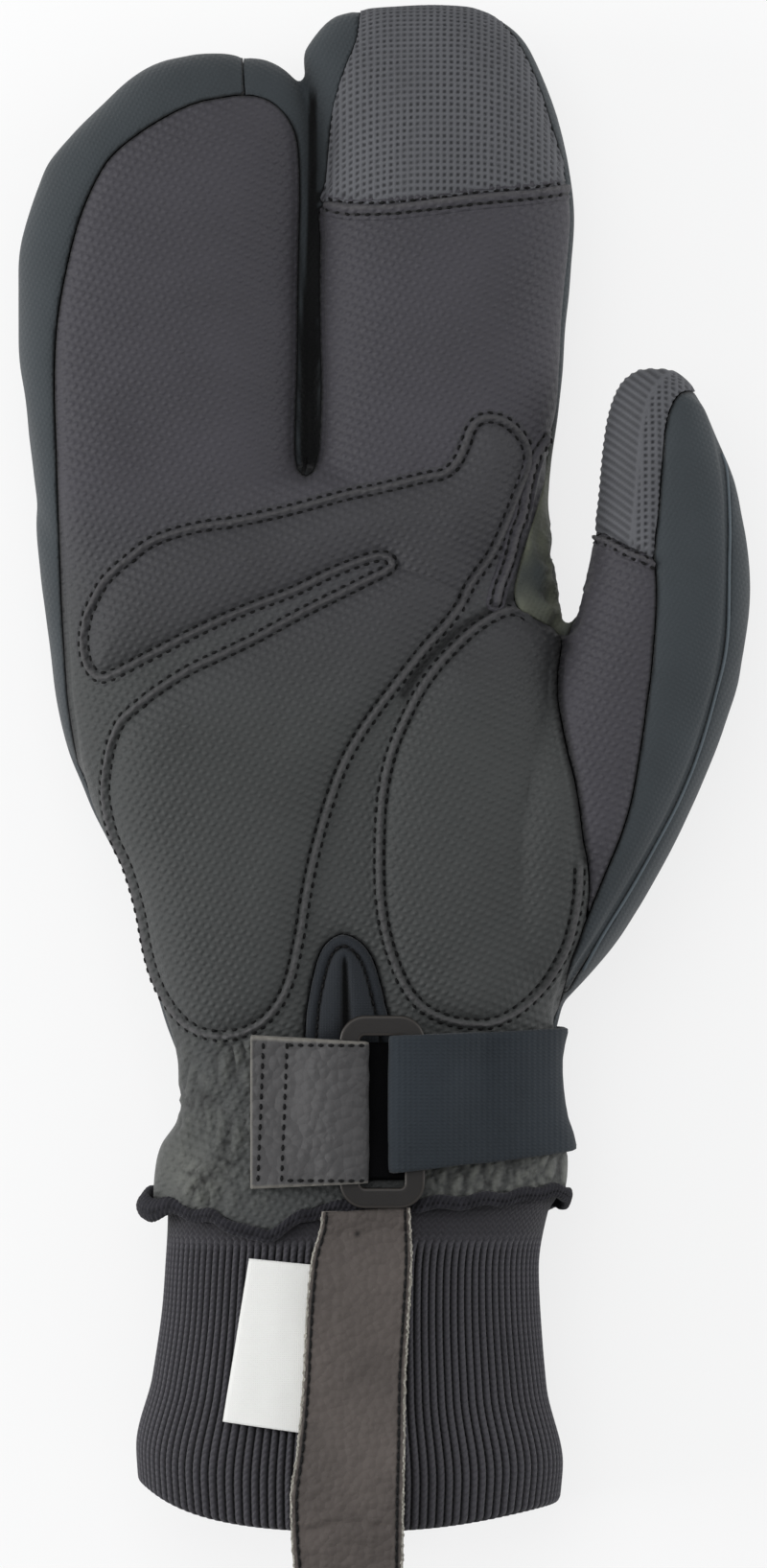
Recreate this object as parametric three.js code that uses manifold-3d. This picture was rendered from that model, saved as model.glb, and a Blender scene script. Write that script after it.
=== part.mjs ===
// A winter mitt with two finger pockets and a thumb, lying on its back with the palm up.
// Fingers point along +Y, the thumb lies towards +X, and the back rests on z = 0.
import * as THREE from "three";
import { mergeVertices } from "three/addons/utils/BufferGeometryUtils.js";
import Module from "manifold-3d";

const wasm = await Module();
wasm.setup();

// The hand: its length from the wrist seam to the fingertips, its width and its depth, and the
// powers of the rounded sections of thumb and cuff.
const mittLength = 231;
const palmWidth = 98;
const palmThickness = 46;
const thumbSquare = 2.3;
const cuffSquare = 2.2;

// The thumb: its length along the hand and how far it reaches past thumbRoot.
const thumbLength = 122;
const thumbReach = 42;
const thumbRoot = 39;
const thumbBase = 37.5;

// The fabric: wall, the gap between neighbouring panels, and the gathers at the wrist.
const shellWall = 2.6;
const seamGap = 0.35;
const gatherDepth = 1.2;
const seamHeight = 26;
const thumbSeamHeight = 29;
const gussetFoot = 9;

// The gel pads on the palm.
const padThickness = 3.4;

// The knit cuff and its trim.
const cuffLength = 67;
const cuffWall = 3;
const ribPitch = 3;
const ribDepth = 0.7;
const tuckGap = 2.2;
const bindingLength = 6;
const bindingFlange = 1;

// The wrist strap: tab, ring and elastic.
const strapHeight = 15.7;
const tabWidth = 28.5;
const tabLeft = -20.2;
const strapPly = 1.5;
const ringLength = 37.4;
const ringWidth = 16.6;
const ringBar = 4;
const ringPlate = 1.8;
const ringPlace = 5.4;
const ringCorner = 5;
const elasticWidth = 28.2;
const elasticTaper = 2.4;
const elasticRise = 3.2;
const elasticThickness = 1.8;
const elasticPast = 18;

// The pull strap and the label on the cuff.
const pullStrapWidth = 20;
const pullStrapMiddle = 0.5;
const pullStrapFlare = 1;
const pullStrapOverhang = 12;
const pullStrapThickness = 2.4;
const labelWidth = 12.4;
const labelLength = 32.6;
const labelThickness = 0.6;
const labelPlace = 7;
const labelRise = 1;
const labelSkew = 5;

const pointsRound = 30;
const pocketPoints = 20;
const liningPoints = 12;
const cuffLiningPoints = 20;
const prismTop = 2 * palmThickness;

// Sections across the hand. at is a share of mittLength, left and right are shares of palmWidth,
// low and high are shares of palmThickness, and square is the power of the rounded corners.
// valley is how deep the palm sinks between its pads, and gather how deep the wrist folds are.
const palmSections = [
  { at: 0.0, left: -0.402, right: 0.432, low: 0.07, high: 0.97, square: 2.3, valley: 0, gather: 0.6 },
  { at: 0.032, left: -0.394, right: 0.44, low: 0.08, high: 0.95, square: 2.3, valley: 0.01, gather: 1 },
  { at: 0.065, left: -0.35, right: 0.425, low: 0.1, high: 0.925, square: 2.3, valley: 0.01, gather: 1 },
  { at: 0.106, left: -0.362, right: 0.417, low: 0.1, high: 0.925, square: 2.3, valley: 0.02, gather: 1 },
  { at: 0.146, left: -0.386, right: 0.429, low: 0.06, high: 0.965, square: 2.4, valley: 0.05, gather: 0.4 },
  { at: 0.195, left: -0.415, right: 0.44, low: 0.0, high: 1.01, square: 2.5, valley: 0.085, gather: 0 },
  { at: 0.26, left: -0.455, right: 0.452, low: -0.04, high: 1.04, square: 2.6, valley: 0.085, gather: 0 },
  { at: 0.325, left: -0.524, right: 0.455, low: -0.05, high: 1.04, square: 2.6, valley: 0.07, gather: 0 },
  { at: 0.398, left: -0.587, right: 0.448, low: -0.05, high: 1.02, square: 2.7, valley: 0.05, gather: 0 },
  { at: 0.471, left: -0.612, right: 0.417, low: -0.04, high: 0.98, square: 2.8, valley: 0.03, gather: 0 },
  { at: 0.519, left: -0.626, right: 0.394, low: -0.03, high: 0.95, square: 2.9, valley: 0.02, gather: 0 },
  { at: 0.568, left: -0.635, right: 0.388, low: -0.02, high: 0.92, square: 3.0, valley: 0.01, gather: 0 },
  { at: 0.595, left: -0.615, right: 0.37, low: 0.03, high: 0.87, square: 2.9, valley: 0, gather: 0 },
  { at: 0.61, left: -0.57, right: 0.33, low: 0.1, high: 0.78, square: 2.6, valley: 0, gather: 0 },
];

// The pocket of the ring and little fingers, in the same shares.
const outerPocketSections = [
  { at: 0.519, left: -0.585, right: -0.134, low: 0.1, high: 0.86, square: 3.4 },
  { at: 0.568, left: -0.627, right: -0.118, low: 0.01, high: 0.905, square: 3.4 },
  { at: 0.617, left: -0.643, right: -0.111, low: 0.01, high: 0.885, square: 3.2 },
  { at: 0.666, left: -0.658, right: -0.113, low: 0.04, high: 0.87, square: 2.9 },
  { at: 0.722, left: -0.673, right: -0.109, low: 0.08, high: 0.86, square: 2.6 },
  { at: 0.779, left: -0.673, right: -0.099, low: 0.12, high: 0.85, square: 2.4 },
  { at: 0.86, left: -0.62, right: -0.088, low: 0.19, high: 0.83, square: 2.4 },
  { at: 0.893, left: -0.562, right: -0.088, low: 0.23, high: 0.82, square: 2.4 },
  { at: 0.921, left: -0.494, right: -0.103, low: 0.28, high: 0.8, square: 2.3 },
  { at: 0.942, left: -0.438, right: -0.128, low: 0.34, high: 0.77, square: 2.3 },
  { at: 0.954, left: -0.386, right: -0.168, low: 0.4, high: 0.72, square: 2.2 },
  { at: 0.96, left: -0.316, right: -0.239, low: 0.46, high: 0.66, square: 2.2 },
];

// The pocket of the index and middle fingers, in the same shares.
const innerPocketSections = [
  { at: 0.519, left: -0.067, right: 0.356, low: 0.1, high: 0.86, square: 3.4 },
  { at: 0.568, left: -0.084, right: 0.38, low: 0.01, high: 0.905, square: 3.4 },
  { at: 0.617, left: -0.088, right: 0.392, low: 0.01, high: 0.885, square: 3.2 },
  { at: 0.666, left: -0.078, right: 0.408, low: 0.04, high: 0.87, square: 2.9 },
  { at: 0.722, left: -0.071, right: 0.419, low: 0.07, high: 0.86, square: 2.6 },
  { at: 0.82, left: -0.069, right: 0.44, low: 0.13, high: 0.84, square: 2.4 },
  { at: 0.86, left: -0.071, right: 0.429, low: 0.16, high: 0.83, square: 2.4 },
  { at: 0.901, left: -0.077, right: 0.408, low: 0.2, high: 0.82, square: 2.4 },
  { at: 0.933, left: -0.096, right: 0.385, low: 0.24, high: 0.81, square: 2.4 },
  { at: 0.958, left: -0.103, right: 0.358, low: 0.28, high: 0.79, square: 2.4 },
  { at: 0.978, left: -0.078, right: 0.327, low: 0.33, high: 0.76, square: 2.3 },
  { at: 0.992, left: -0.046, right: 0.281, low: 0.39, high: 0.72, square: 2.2 },
  { at: 1.0, left: 0.004, right: 0.233, low: 0.46, high: 0.66, square: 2.2 },
];

// The thumb. at is a share of thumbLength from thumbBase, left and right are shares of thumbReach
// from thumbRoot, and low and high are shares of palmThickness.
const thumbSections = [
  { at: 0.0, left: -0.487, right: 0.076, low: 0.2, high: 0.8 },
  { at: 0.077, left: -0.442, right: 0.254, low: 0.12, high: 0.9 },
  { at: 0.154, left: -0.398, right: 0.401, low: 0.11, high: 0.94 },
  { at: 0.339, left: -0.264, right: 0.665, low: 0.14, high: 0.98 },
  { at: 0.431, left: -0.152, right: 0.776, low: 0.18, high: 0.98 },
  { at: 0.524, left: -0.032, right: 0.861, low: 0.24, high: 0.98 },
  { at: 0.647, left: 0.129, right: 0.915, low: 0.31, high: 0.98 },
  { at: 0.801, left: 0.205, right: 0.857, low: 0.4, high: 0.98 },
  { at: 0.863, left: 0.227, right: 0.803, low: 0.44, high: 0.98 },
  { at: 0.917, left: 0.25, right: 0.745, low: 0.49, high: 0.97 },
  { at: 0.955, left: 0.281, right: 0.692, low: 0.53, high: 0.955 },
  { at: 0.983, left: 0.326, right: 0.611, low: 0.59, high: 0.93 },
  { at: 1.0, left: 0.397, right: 0.54, low: 0.67, high: 0.87 },
];

// The cuff, from inside the wrist to its rim. at and dip are shares of cuffLength towards -Y,
// dip is how far the middle of the rim hangs past its sides, and tuck 1 is inside the lining.
const cuffSections = [
  { at: -0.042, left: -0.385, right: 0.415, low: 0.09, high: 0.94, dip: 0, tuck: 1 },
  { at: 0.006, left: -0.39, right: 0.42, low: 0.085, high: 0.945, dip: 0, tuck: 1 },
  { at: 0.07, left: -0.374, right: 0.385, low: 0.115, high: 0.93, dip: 0, tuck: 0 },
  { at: 0.24, left: -0.38, right: 0.367, low: 0.095, high: 0.955, dip: 0, tuck: 0 },
  { at: 0.56, left: -0.406, right: 0.381, low: 0.045, high: 1.025, dip: 0.04, tuck: 0 },
  { at: 0.854, left: -0.442, right: 0.413, low: -0.01, high: 1.1, dip: 0.146, tuck: 0 },
];

// Seam outlines seen from the palm side, as shares of palmWidth and mittLength.
const palmOutline = [
  [-0.429, -0.02], [-0.385, 0.073], [-0.402, 0.146], [-0.444, 0.207], [-0.486, 0.276],
  [-0.524, 0.341], [-0.555, 0.422], [-0.582, 0.519], [-0.593, 0.617], [-0.589, 0.698],
  [-0.57, 0.763], [-0.54, 0.812], [-0.494, 0.847], [-0.421, 0.885], [-0.325, 0.912],
  [-0.214, 0.922], [-0.153, 0.911], [-0.121, 0.889], [-0.107, 0.844], [-0.111, 0.763],
  [-0.119, 0.682], [-0.122, 0.621], [-0.111, 0.603], [-0.086, 0.603], [-0.075, 0.621],
  [-0.069, 0.682], [-0.063, 0.763], [-0.054, 0.829], [0.057, 0.829], [0.249, 0.834],
  [0.463, 0.84], [0.463, 0.795], [0.452, 0.731], [0.429, 0.666], [0.394, 0.609],
  [0.364, 0.552], [0.341, 0.51], [0.348, 0.484], [0.402, 0.468], [0.415, 0.438],
  [0.429, 0.39], [0.444, 0.341], [0.459, 0.292], [0.465, 0.252], [0.459, 0.203],
  [0.448, 0.154], [0.444, 0.114], [0.448, 0.065], [0.463, 0.024], [0.459, -0.02],
];
const fingertipPatchOutline = [
  [-0.06, 0.8], [-0.034, 0.885], [-0.015, 0.925], [0.002, 0.966], [0.011, 1.03],
  [0.314, 1.03], [0.367, 0.942], [0.408, 0.885], [0.47, 0.8],
];
const thumbPatchOutline = [
  [0.44, 0.55], [0.46, 0.617], [0.48, 0.67], [0.526, 0.71], [0.612, 0.712], [0.673, 0.68],
  [0.639, 0.649], [0.616, 0.601], [0.605, 0.552], [0.595, 0.522], [0.536, 0.533], [0.482, 0.545],
];
const thumbPalmOutline = [
  [0.415, 0.47], [0.425, 0.5], [0.44, 0.56], [0.53, 0.56], [0.597, 0.54], [0.597, 0.487],
  [0.58, 0.422], [0.555, 0.365], [0.517, 0.308], [0.478, 0.252], [0.44, 0.25], [0.43, 0.33],
  [0.41, 0.4],
];
const thumbSideOutline = [
  [0.66, 0.69], [0.723, 0.641], [0.746, 0.601], [0.758, 0.552], [0.754, 0.487], [0.731, 0.43],
  [0.689, 0.365], [0.641, 0.3], [0.578, 0.239], [0.517, 0.195], [0.463, 0.15], [0.44, 0.19],
  [0.45, 0.25], [0.5, 0.32], [0.55, 0.39], [0.575, 0.47], [0.58, 0.53], [0.6, 0.6], [0.63, 0.66],
];
const palmPadOutline = [
  [0.067, 0.536], [-0.134, 0.503], [-0.325, 0.464], [-0.44, 0.436], [-0.507, 0.43],
  [-0.532, 0.442], [-0.536, 0.471], [-0.507, 0.503], [-0.45, 0.532], [-0.364, 0.55],
  [-0.249, 0.56], [-0.096, 0.574], [0.057, 0.588], [0.172, 0.601], [0.21, 0.609],
  [0.23, 0.631], [0.258, 0.649], [0.287, 0.654], [0.329, 0.644], [0.345, 0.621],
  [0.341, 0.588], [0.306, 0.552], [0.258, 0.519], [0.214, 0.494], [0.153, 0.467],
  [0.067, 0.426], [-0.004, 0.373], [-0.057, 0.308], [-0.092, 0.244], [-0.115, 0.183],
  [-0.157, 0.146], [-0.23, 0.131], [-0.316, 0.141], [-0.375, 0.17], [-0.414, 0.21],
  [-0.446, 0.252], [-0.478, 0.304], [-0.49, 0.353], [-0.469, 0.386], [-0.411, 0.416],
  [-0.325, 0.437], [-0.134, 0.475], [0.01, 0.506], [0.08, 0.523],
];
const thenarPadOutline = [
  [0.36, 0.479], [0.287, 0.473], [0.21, 0.446], [0.134, 0.406], [0.08, 0.357], [0.052, 0.3],
  [0.046, 0.244], [0.065, 0.195], [0.115, 0.161], [0.191, 0.144], [0.268, 0.144],
  [0.35, 0.161], [0.408, 0.192], [0.433, 0.231], [0.442, 0.276], [0.436, 0.325],
  [0.421, 0.381], [0.405, 0.434], [0.392, 0.461],
];
const wristGussetOutline = [
  [-0.09, 0.02], [-0.086, 0.114], [-0.078, 0.162], [-0.057, 0.195], [-0.038, 0.209],
  [-0.019, 0.214], [0.004, 0.209], [0.027, 0.191], [0.05, 0.162], [0.061, 0.114], [0.065, 0.02],
];
const slitGussetOutline = [
  [-0.3, 0.99], [-0.22, 0.93], [-0.135, 0.9], [-0.12, 0.85], [-0.125, 0.763], [-0.13, 0.682],
  [-0.135, 0.61], [-0.12, 0.585], [-0.075, 0.585], [-0.06, 0.62], [-0.055, 0.682],
  [-0.05, 0.763], [-0.04, 0.84], [-0.02, 0.9], [0.01, 0.96], [0.02, 1.03], [-0.14, 1.03],
];

// A ring of points round one section, grown by a margin and no lower than its floor.
function sectionRing(section, count, floor) {
  const { y, left, right, low, high, grow } = section;
  const leastHalf = shellWall / 4;
  const halfWidth = Math.max((right - left) / 2 + grow, leastHalf);
  const halfDepth = Math.max((high - low) / 2 + grow, leastHalf);
  const middle = new THREE.Vector3((left + right) / 2, y, (low + high) / 2);
  const power = 2 / section.square;
  const rough = [];
  for (let i = 0; i < 2 * pointsRound; i++) {
    const angle = (Math.PI * i) / pointsRound;
    const across = Math.sign(Math.cos(angle)) * Math.abs(Math.cos(angle)) ** power;
    const up = Math.sign(Math.sin(angle)) * Math.abs(Math.sin(angle)) ** power;
    const sunk = up > 0 ? section.valley * up * (1 - Math.abs(across) ** 2) ** 2 : 0;
    rough.push(new THREE.Vector3(across * halfWidth, 0, up * halfDepth - sunk).add(middle));
  }
  const ring = new THREE.CatmullRomCurve3(rough, true).getSpacedPoints(count).slice(0, -1);
  return ring.map((point, i) => {
    const outward = point.clone().sub(middle).normalize();
    point.addScaledVector(outward, (i % 2 ? 1 : -1) * section.fold);
    const aside = Math.min(Math.abs(point.x - middle.x) / halfWidth, 1);
    point.y -= section.dip * (1 - aside ** 3);
    point.z = Math.max(point.z, floor);
    return point;
  });
}

// A closed solid through rings that run towards +Y, with a fan over each end.
function loft(rings) {
  const count = rings[0].length;
  const points = rings.flat();
  const triangles = [];
  for (let r = 0; r < rings.length - 1; r++)
    for (let i = 0; i < count; i++) {
      const here = r * count + i;
      const next = r * count + ((i + 1) % count);
      triangles.push(here, here + count, next, next, here + count, next + count);
    }
  for (const end of [0, rings.length - 1]) {
    const centre = rings[end].reduce((sum, p) => sum.add(p), new THREE.Vector3());
    points.push(centre.divideScalar(count));
    for (let i = 0; i < count; i++) {
      const edge = [end * count + i, end * count + ((i + 1) % count)];
      if (end) edge.reverse();
      triangles.push(points.length - 1, ...edge);
    }
  }
  const geometry = new THREE.BufferGeometry().setFromPoints(points);
  geometry.setIndex(triangles);
  return solid(geometry);
}

// A closed geometry as a solid that can be cut and joined.
function solid(geometry) {
  const bare = new THREE.BufferGeometry();
  bare.setAttribute("position", geometry.getAttribute("position"));
  bare.setIndex(geometry.getIndex());
  const merged = mergeVertices(bare, 1e-4);
  return new wasm.Manifold(
    new wasm.Mesh({
      numProp: 3,
      vertProperties: merged.attributes.position.array,
      triVerts: new Uint32Array(merged.index.array),
    }),
  );
}

// Sections of the hand in millimetres, grown by a margin, which also moves the tip.
function handForm(sections, { grow = 0, folds = false, start = 0, count = pointsRound }) {
  const floor = Math.max(-grow, 0);
  const base = sections[0].at * mittLength;
  const tip = sections.at(-1).at * mittLength;
  const stretch = (tip + grow - base) / (tip - base);
  const rings = sections.map((row, i) =>
    sectionRing(
      {
        y: i ? base + (row.at * mittLength - base) * stretch : base + start,
        left: row.left * palmWidth,
        right: row.right * palmWidth,
        low: row.low * palmThickness,
        high: row.high * palmThickness,
        square: row.square,
        valley: (row.valley ?? 0) * palmThickness,
        fold: folds ? (row.gather * gatherDepth) / 2 : 0,
        dip: 0,
        grow,
      },
      count,
      floor,
    ),
  );
  return loft(rings);
}

function thumbForm(grow, count) {
  const rings = thumbSections.map((row) =>
    sectionRing(
      {
        y: thumbBase + row.at * (thumbLength + grow),
        left: thumbRoot + row.left * thumbReach,
        right: thumbRoot + row.right * thumbReach,
        low: row.low * palmThickness,
        high: row.high * palmThickness,
        square: thumbSquare,
        valley: 0,
        fold: 0,
        dip: 0,
        grow,
      },
      count,
      Math.max(-grow, 0),
    ),
  );
  return loft(rings);
}

// The whole hand as one solid, grown by a margin. The inner form passes out of the wrist.
function handSolid(grow, folds) {
  const lining = grow < 0;
  const start = lining ? -bindingLength : 0;
  const count = lining ? liningPoints : pocketPoints;
  return handForm(palmSections, { grow, folds, start, count: lining ? liningPoints : pointsRound })
    .add(handForm(outerPocketSections, { grow, count }))
    .add(handForm(innerPocketSections, { grow, count }))
    .add(thumbForm(grow, count));
}

// The cuff, ribbed or plain, grown by a margin and run on past both its ends.
function cuffForm({ grow = 0, count = pointsRound, rib = 0, pastRim = 0, pastTop = 0 }) {
  const rows = [...cuffSections];
  if (pastTop) rows.unshift({ ...rows[0], at: rows[0].at - pastTop / cuffLength });
  if (pastRim) rows.push({ ...rows.at(-1), at: rows.at(-1).at + pastRim / cuffLength });
  const rings = rows.map((row) =>
    sectionRing(
      {
        y: -row.at * cuffLength,
        left: row.left * palmWidth,
        right: row.right * palmWidth,
        low: row.low * palmThickness,
        high: row.high * palmThickness,
        square: cuffSquare,
        valley: 0,
        fold: rib / 2,
        dip: row.dip * cuffLength,
        grow: grow - row.tuck * (shellWall + tuckGap),
      },
      count,
      Math.max(-grow, 0),
    ),
  );
  return loft(rings.reverse());
}

// A closed outline in millimetres, grown by a margin.
function grownOutline(outline, grow) {
  const points = outline.map(([x, y]) => new THREE.Vector2(x * palmWidth, y * mittLength));
  if (THREE.ShapeUtils.isClockWise(points)) points.reverse();
  return points.map((point, i) => {
    const before = points.at(i - 1);
    const after = points[(i + 1) % points.length];
    const along = after.clone().sub(before).normalize();
    return new THREE.Vector2(point.x + along.y * grow, point.y - along.x * grow);
  });
}

function prism(points, bottom, top) {
  const shape = new THREE.Shape(points);
  const geometry = new THREE.ExtrudeGeometry(shape, { depth: top - bottom, bevelEnabled: false });
  return solid(geometry.translate(0, 0, bottom));
}

function outlinePrism(outline, bottom, grow = 0) {
  return prism(grownOutline(outline, grow), bottom - grow, prismTop);
}

function slab(left, right, front, back, bottom, top) {
  const corners = [[left, front], [right, front], [right, back], [left, back]];
  return prism(corners.map(([x, y]) => new THREE.Vector2(x, y)), bottom, top);
}

// The shell of the hand, cut along its seams into panels.
const handWall = handSolid(0, true).subtract(handSolid(-shellWall, false));
const panels = {};
let rest = handWall;
const cuts = [
  ["wrist_gusset", wristGussetOutline, seamHeight],
  ["palm_panel", palmOutline, seamHeight],
  ["fingertip_patch", fingertipPatchOutline, seamHeight],
  ["thumb_patch", thumbPatchOutline, thumbSeamHeight],
  ["thumb_palm_panel", thumbPalmOutline, thumbSeamHeight],
  ["thumb_side_panel", thumbSideOutline, thumbSeamHeight],
  ["slit_gusset", slitGussetOutline, gussetFoot],
];
for (const [name, outline, bottom] of cuts) {
  panels[name] = rest.intersect(outlinePrism(outline, bottom));
  rest = rest.subtract(outlinePrism(outline, bottom, seamGap));
}
panels.back_shell = rest;

// Pads lie on the palm panel, a seam gap above it.
const padBed = handSolid(seamGap, false);
const padTop = handSolid(seamGap + padThickness, false);
const padLayer = padTop.subtract(padBed);
panels.palm_pad = padLayer.intersect(outlinePrism(palmPadOutline, seamHeight));
panels.thenar_pad = padLayer.intersect(outlinePrism(thenarPadOutline, seamHeight));

// The strap lies over the gathers of the wrist.
const strapBed = gatherDepth / 2 + seamGap;
const wristUnder = handForm(palmSections, { grow: strapBed, start: -strapBed });
const wristOver = (layer) => handForm(palmSections, { grow: strapBed + layer, start: -strapBed });
const strapMiddle = palmSections[3].high * palmThickness;
const wristTop = palmSections[0].high * palmThickness + bindingFlange;
const ringBottom = Math.max(strapMiddle + strapBed + strapPly + seamGap, wristTop) + seamGap;
const strapStack = ringBottom + ringPlate + seamGap + strapPly - strapMiddle - strapBed;

function ringGeometry() {
  const outer = roundedRectangle(ringWidth, ringLength, ringCorner);
  outer.holes.push(roundedRectangle(ringWidth - 2 * ringBar, ringLength - 2 * ringBar, ringCorner / 4));
  const settings = { depth: ringPlate, bevelEnabled: false, curveSegments: 3 };
  const geometry = new THREE.ExtrudeGeometry(outer, settings);
  return geometry.translate(ringPlace, strapHeight, ringBottom);
}

function roundedRectangle(width, length, radius) {
  const shape = new THREE.Shape();
  const x = width / 2 - radius;
  const y = length / 2 - radius;
  shape.absarc(x, y, radius, 0, Math.PI / 2);
  shape.absarc(-x, y, radius, Math.PI / 2, Math.PI);
  shape.absarc(-x, -y, radius, Math.PI, 1.5 * Math.PI);
  shape.absarc(x, -y, radius, 1.5 * Math.PI, 2 * Math.PI);
  return shape;
}
panels.strap_ring = solid(ringGeometry());

// The way through a fold for one bar of the ring, side -1 for the left bar and 1 for the right.
function barChannel(side) {
  const middle = ringPlace + (side * (ringWidth - ringBar)) / 2;
  const half = ringBar / 2 + seamGap;
  return slab(
    middle - half, middle + half, strapHeight - ringLength, strapHeight + ringLength,
    ringBottom - seamGap, ringBottom + ringPlate + seamGap,
  );
}
const foldEdge = ringBar + seamGap + strapPly;
const tabRight = ringPlace - ringWidth / 2 + foldEdge;
const stackSolid = wristOver(strapStack).subtract(wristUnder);
const plySolid = wristOver(2 * strapPly).subtract(wristUnder);
const tabFront = strapHeight - tabWidth / 2;
const tabBack = strapHeight + tabWidth / 2;
const foldLeft = ringPlace - ringWidth / 2 - foldEdge / 2;
panels.strap_tab = stackSolid
  .intersect(slab(foldLeft, tabRight, tabFront, tabBack, seamHeight, prismTop))
  .add(plySolid.intersect(slab(tabLeft, foldLeft + seamGap, tabFront, tabBack, seamHeight, prismTop)))
  .subtract(barChannel(-1));

// The elastic runs from the ring round the thumb side to the middle of the back.
const elasticLeft = ringPlace + ringWidth / 2 - foldEdge;
const elasticFar = palmSections[3].right * palmWidth + elasticPast;
const elasticEdges = [
  new THREE.Vector2(elasticLeft, strapHeight - elasticWidth / 2),
  new THREE.Vector2(elasticFar, strapHeight - elasticWidth / 2 + elasticRise + elasticTaper),
  new THREE.Vector2(elasticFar, strapHeight + elasticWidth / 2 + elasticRise),
  new THREE.Vector2(elasticLeft, strapHeight + elasticWidth / 2),
];
const elasticLayer = wristOver(elasticThickness).subtract(wristUnder);
const elasticFold = stackSolid.intersect(
  slab(
    elasticLeft, ringPlace + ringWidth / 2 + foldEdge / 2,
    strapHeight - elasticWidth / 2, strapHeight + elasticWidth / 2, seamHeight, prismTop,
  ),
);
panels.strap_elastic = elasticLayer
  .intersect(prism(elasticEdges, -prismTop, prismTop))
  .add(elasticFold)
  .subtract(barChannel(1));

// The knit cuff stands inside the wrist, and the binding closes the edge of the shell round it.
const cuffRoom = seamGap + ribDepth / 2;
const cuffRound = cuffPerimeter();
panels.knit_cuff = cuffForm({ count: 2 * Math.round(cuffRound / ribPitch), rib: ribDepth }).subtract(
  cuffForm({ grow: -cuffWall, count: cuffLiningPoints, pastRim: cuffWall, pastTop: cuffWall }),
);
panels.cuff_binding = wristFlange().subtract(
  cuffForm({ grow: cuffRoom + seamGap, count: pointsRound, pastTop: cuffWall }),
);

function cuffPerimeter() {
  const middle = cuffSections[2];
  const width = (middle.right - middle.left) * palmWidth;
  const depth = (middle.high - middle.low) * palmThickness;
  return Math.PI * Math.sqrt((width ** 2 + depth ** 2) / 2);
}

function wristFlange() {
  const wrist = palmSections[0];
  const rows = [
    { back: bindingLength, grow: 0 },
    { back: bindingLength / 2, grow: bindingFlange },
    { back: seamGap, grow: 0 },
  ];
  const rings = rows.map((row) =>
    sectionRing(
      {
        y: -row.back,
        left: wrist.left * palmWidth,
        right: wrist.right * palmWidth,
        low: wrist.low * palmThickness,
        high: wrist.high * palmThickness,
        square: wrist.square,
        valley: 0,
        fold: 0,
        dip: 0,
        grow: row.grow,
      },
      pocketPoints,
      0,
    ),
  );
  return loft(rings);
}

// The pull strap and the label lie on the ribs of the cuff.
const pastRim = 2 * pullStrapOverhang;
const cuffUnder = cuffForm({ grow: cuffRoom, pastRim });
const cuffOver = (layer) => cuffForm({ grow: cuffRoom + layer, pastRim });
const pullStrapTop = -bindingLength - seamGap;
const pullStrapEnd = -cuffLength - pullStrapOverhang;
const pullStrapCorner = pullStrapWidth / 4;

function pullStrapShape() {
  const half = pullStrapWidth / 2;
  const shape = new THREE.Shape();
  shape.moveTo(pullStrapMiddle - half, pullStrapTop);
  shape.lineTo(pullStrapMiddle - half - pullStrapFlare, pullStrapEnd + pullStrapCorner);
  shape.absarc(
    pullStrapMiddle - half - pullStrapFlare + pullStrapCorner, pullStrapEnd + pullStrapCorner,
    pullStrapCorner, Math.PI, 1.5 * Math.PI,
  );
  shape.absarc(
    pullStrapMiddle + half - pullStrapCorner, pullStrapEnd + pullStrapCorner,
    pullStrapCorner, 1.5 * Math.PI, 2 * Math.PI,
  );
  shape.lineTo(pullStrapMiddle + half, pullStrapTop);
  return shape.getPoints(4);
}
panels.pull_strap = cuffOver(pullStrapThickness)
  .subtract(cuffUnder)
  .intersect(prism(pullStrapShape(), seamHeight, prismTop));

const labelRight = pullStrapMiddle - pullStrapWidth / 2 - pullStrapFlare - seamGap;
const labelTop = pullStrapTop - labelPlace;
const labelCorners = [
  new THREE.Vector2(labelRight, labelTop),
  new THREE.Vector2(labelRight - labelWidth, labelTop + labelRise),
  new THREE.Vector2(labelRight - labelWidth - labelSkew, labelTop - labelLength + labelRise),
  new THREE.Vector2(labelRight, labelTop - labelLength),
];
panels.side_label = cuffOver(labelThickness)
  .subtract(cuffUnder)
  .intersect(prism(labelCorners, seamHeight, prismTop));

// Finishes: colour, roughness and metalness.
const finishes = {
  softshell: [0x41484d, 0.85, 0],
  leather: [0x454448, 0.6, 0],
  grip: [0x4c4e52, 0.75, 0],
  stretch: [0x2c3033, 0.9, 0],
  gel: [0x40403e, 0.6, 0],
  metal: [0x302d2b, 0.4, 0.6],
  elastic: [0x2e3235, 0.95, 0],
  knit: [0x303034, 1, 0],
  strap: [0x534e4b, 0.7, 0],
  label: [0xdcdcda, 0.9, 0],
};
const finishOf = {
  back_shell: "softshell",
  thumb_side_panel: "softshell",
  palm_panel: "leather",
  thumb_palm_panel: "leather",
  strap_tab: "leather",
  cuff_binding: "leather",
  fingertip_patch: "grip",
  thumb_patch: "grip",
  slit_gusset: "stretch",
  wrist_gusset: "stretch",
  palm_pad: "gel",
  thenar_pad: "gel",
  strap_ring: "metal",
  strap_elastic: "elastic",
  knit_cuff: "knit",
  pull_strap: "strap",
  side_label: "label",
};

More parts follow.
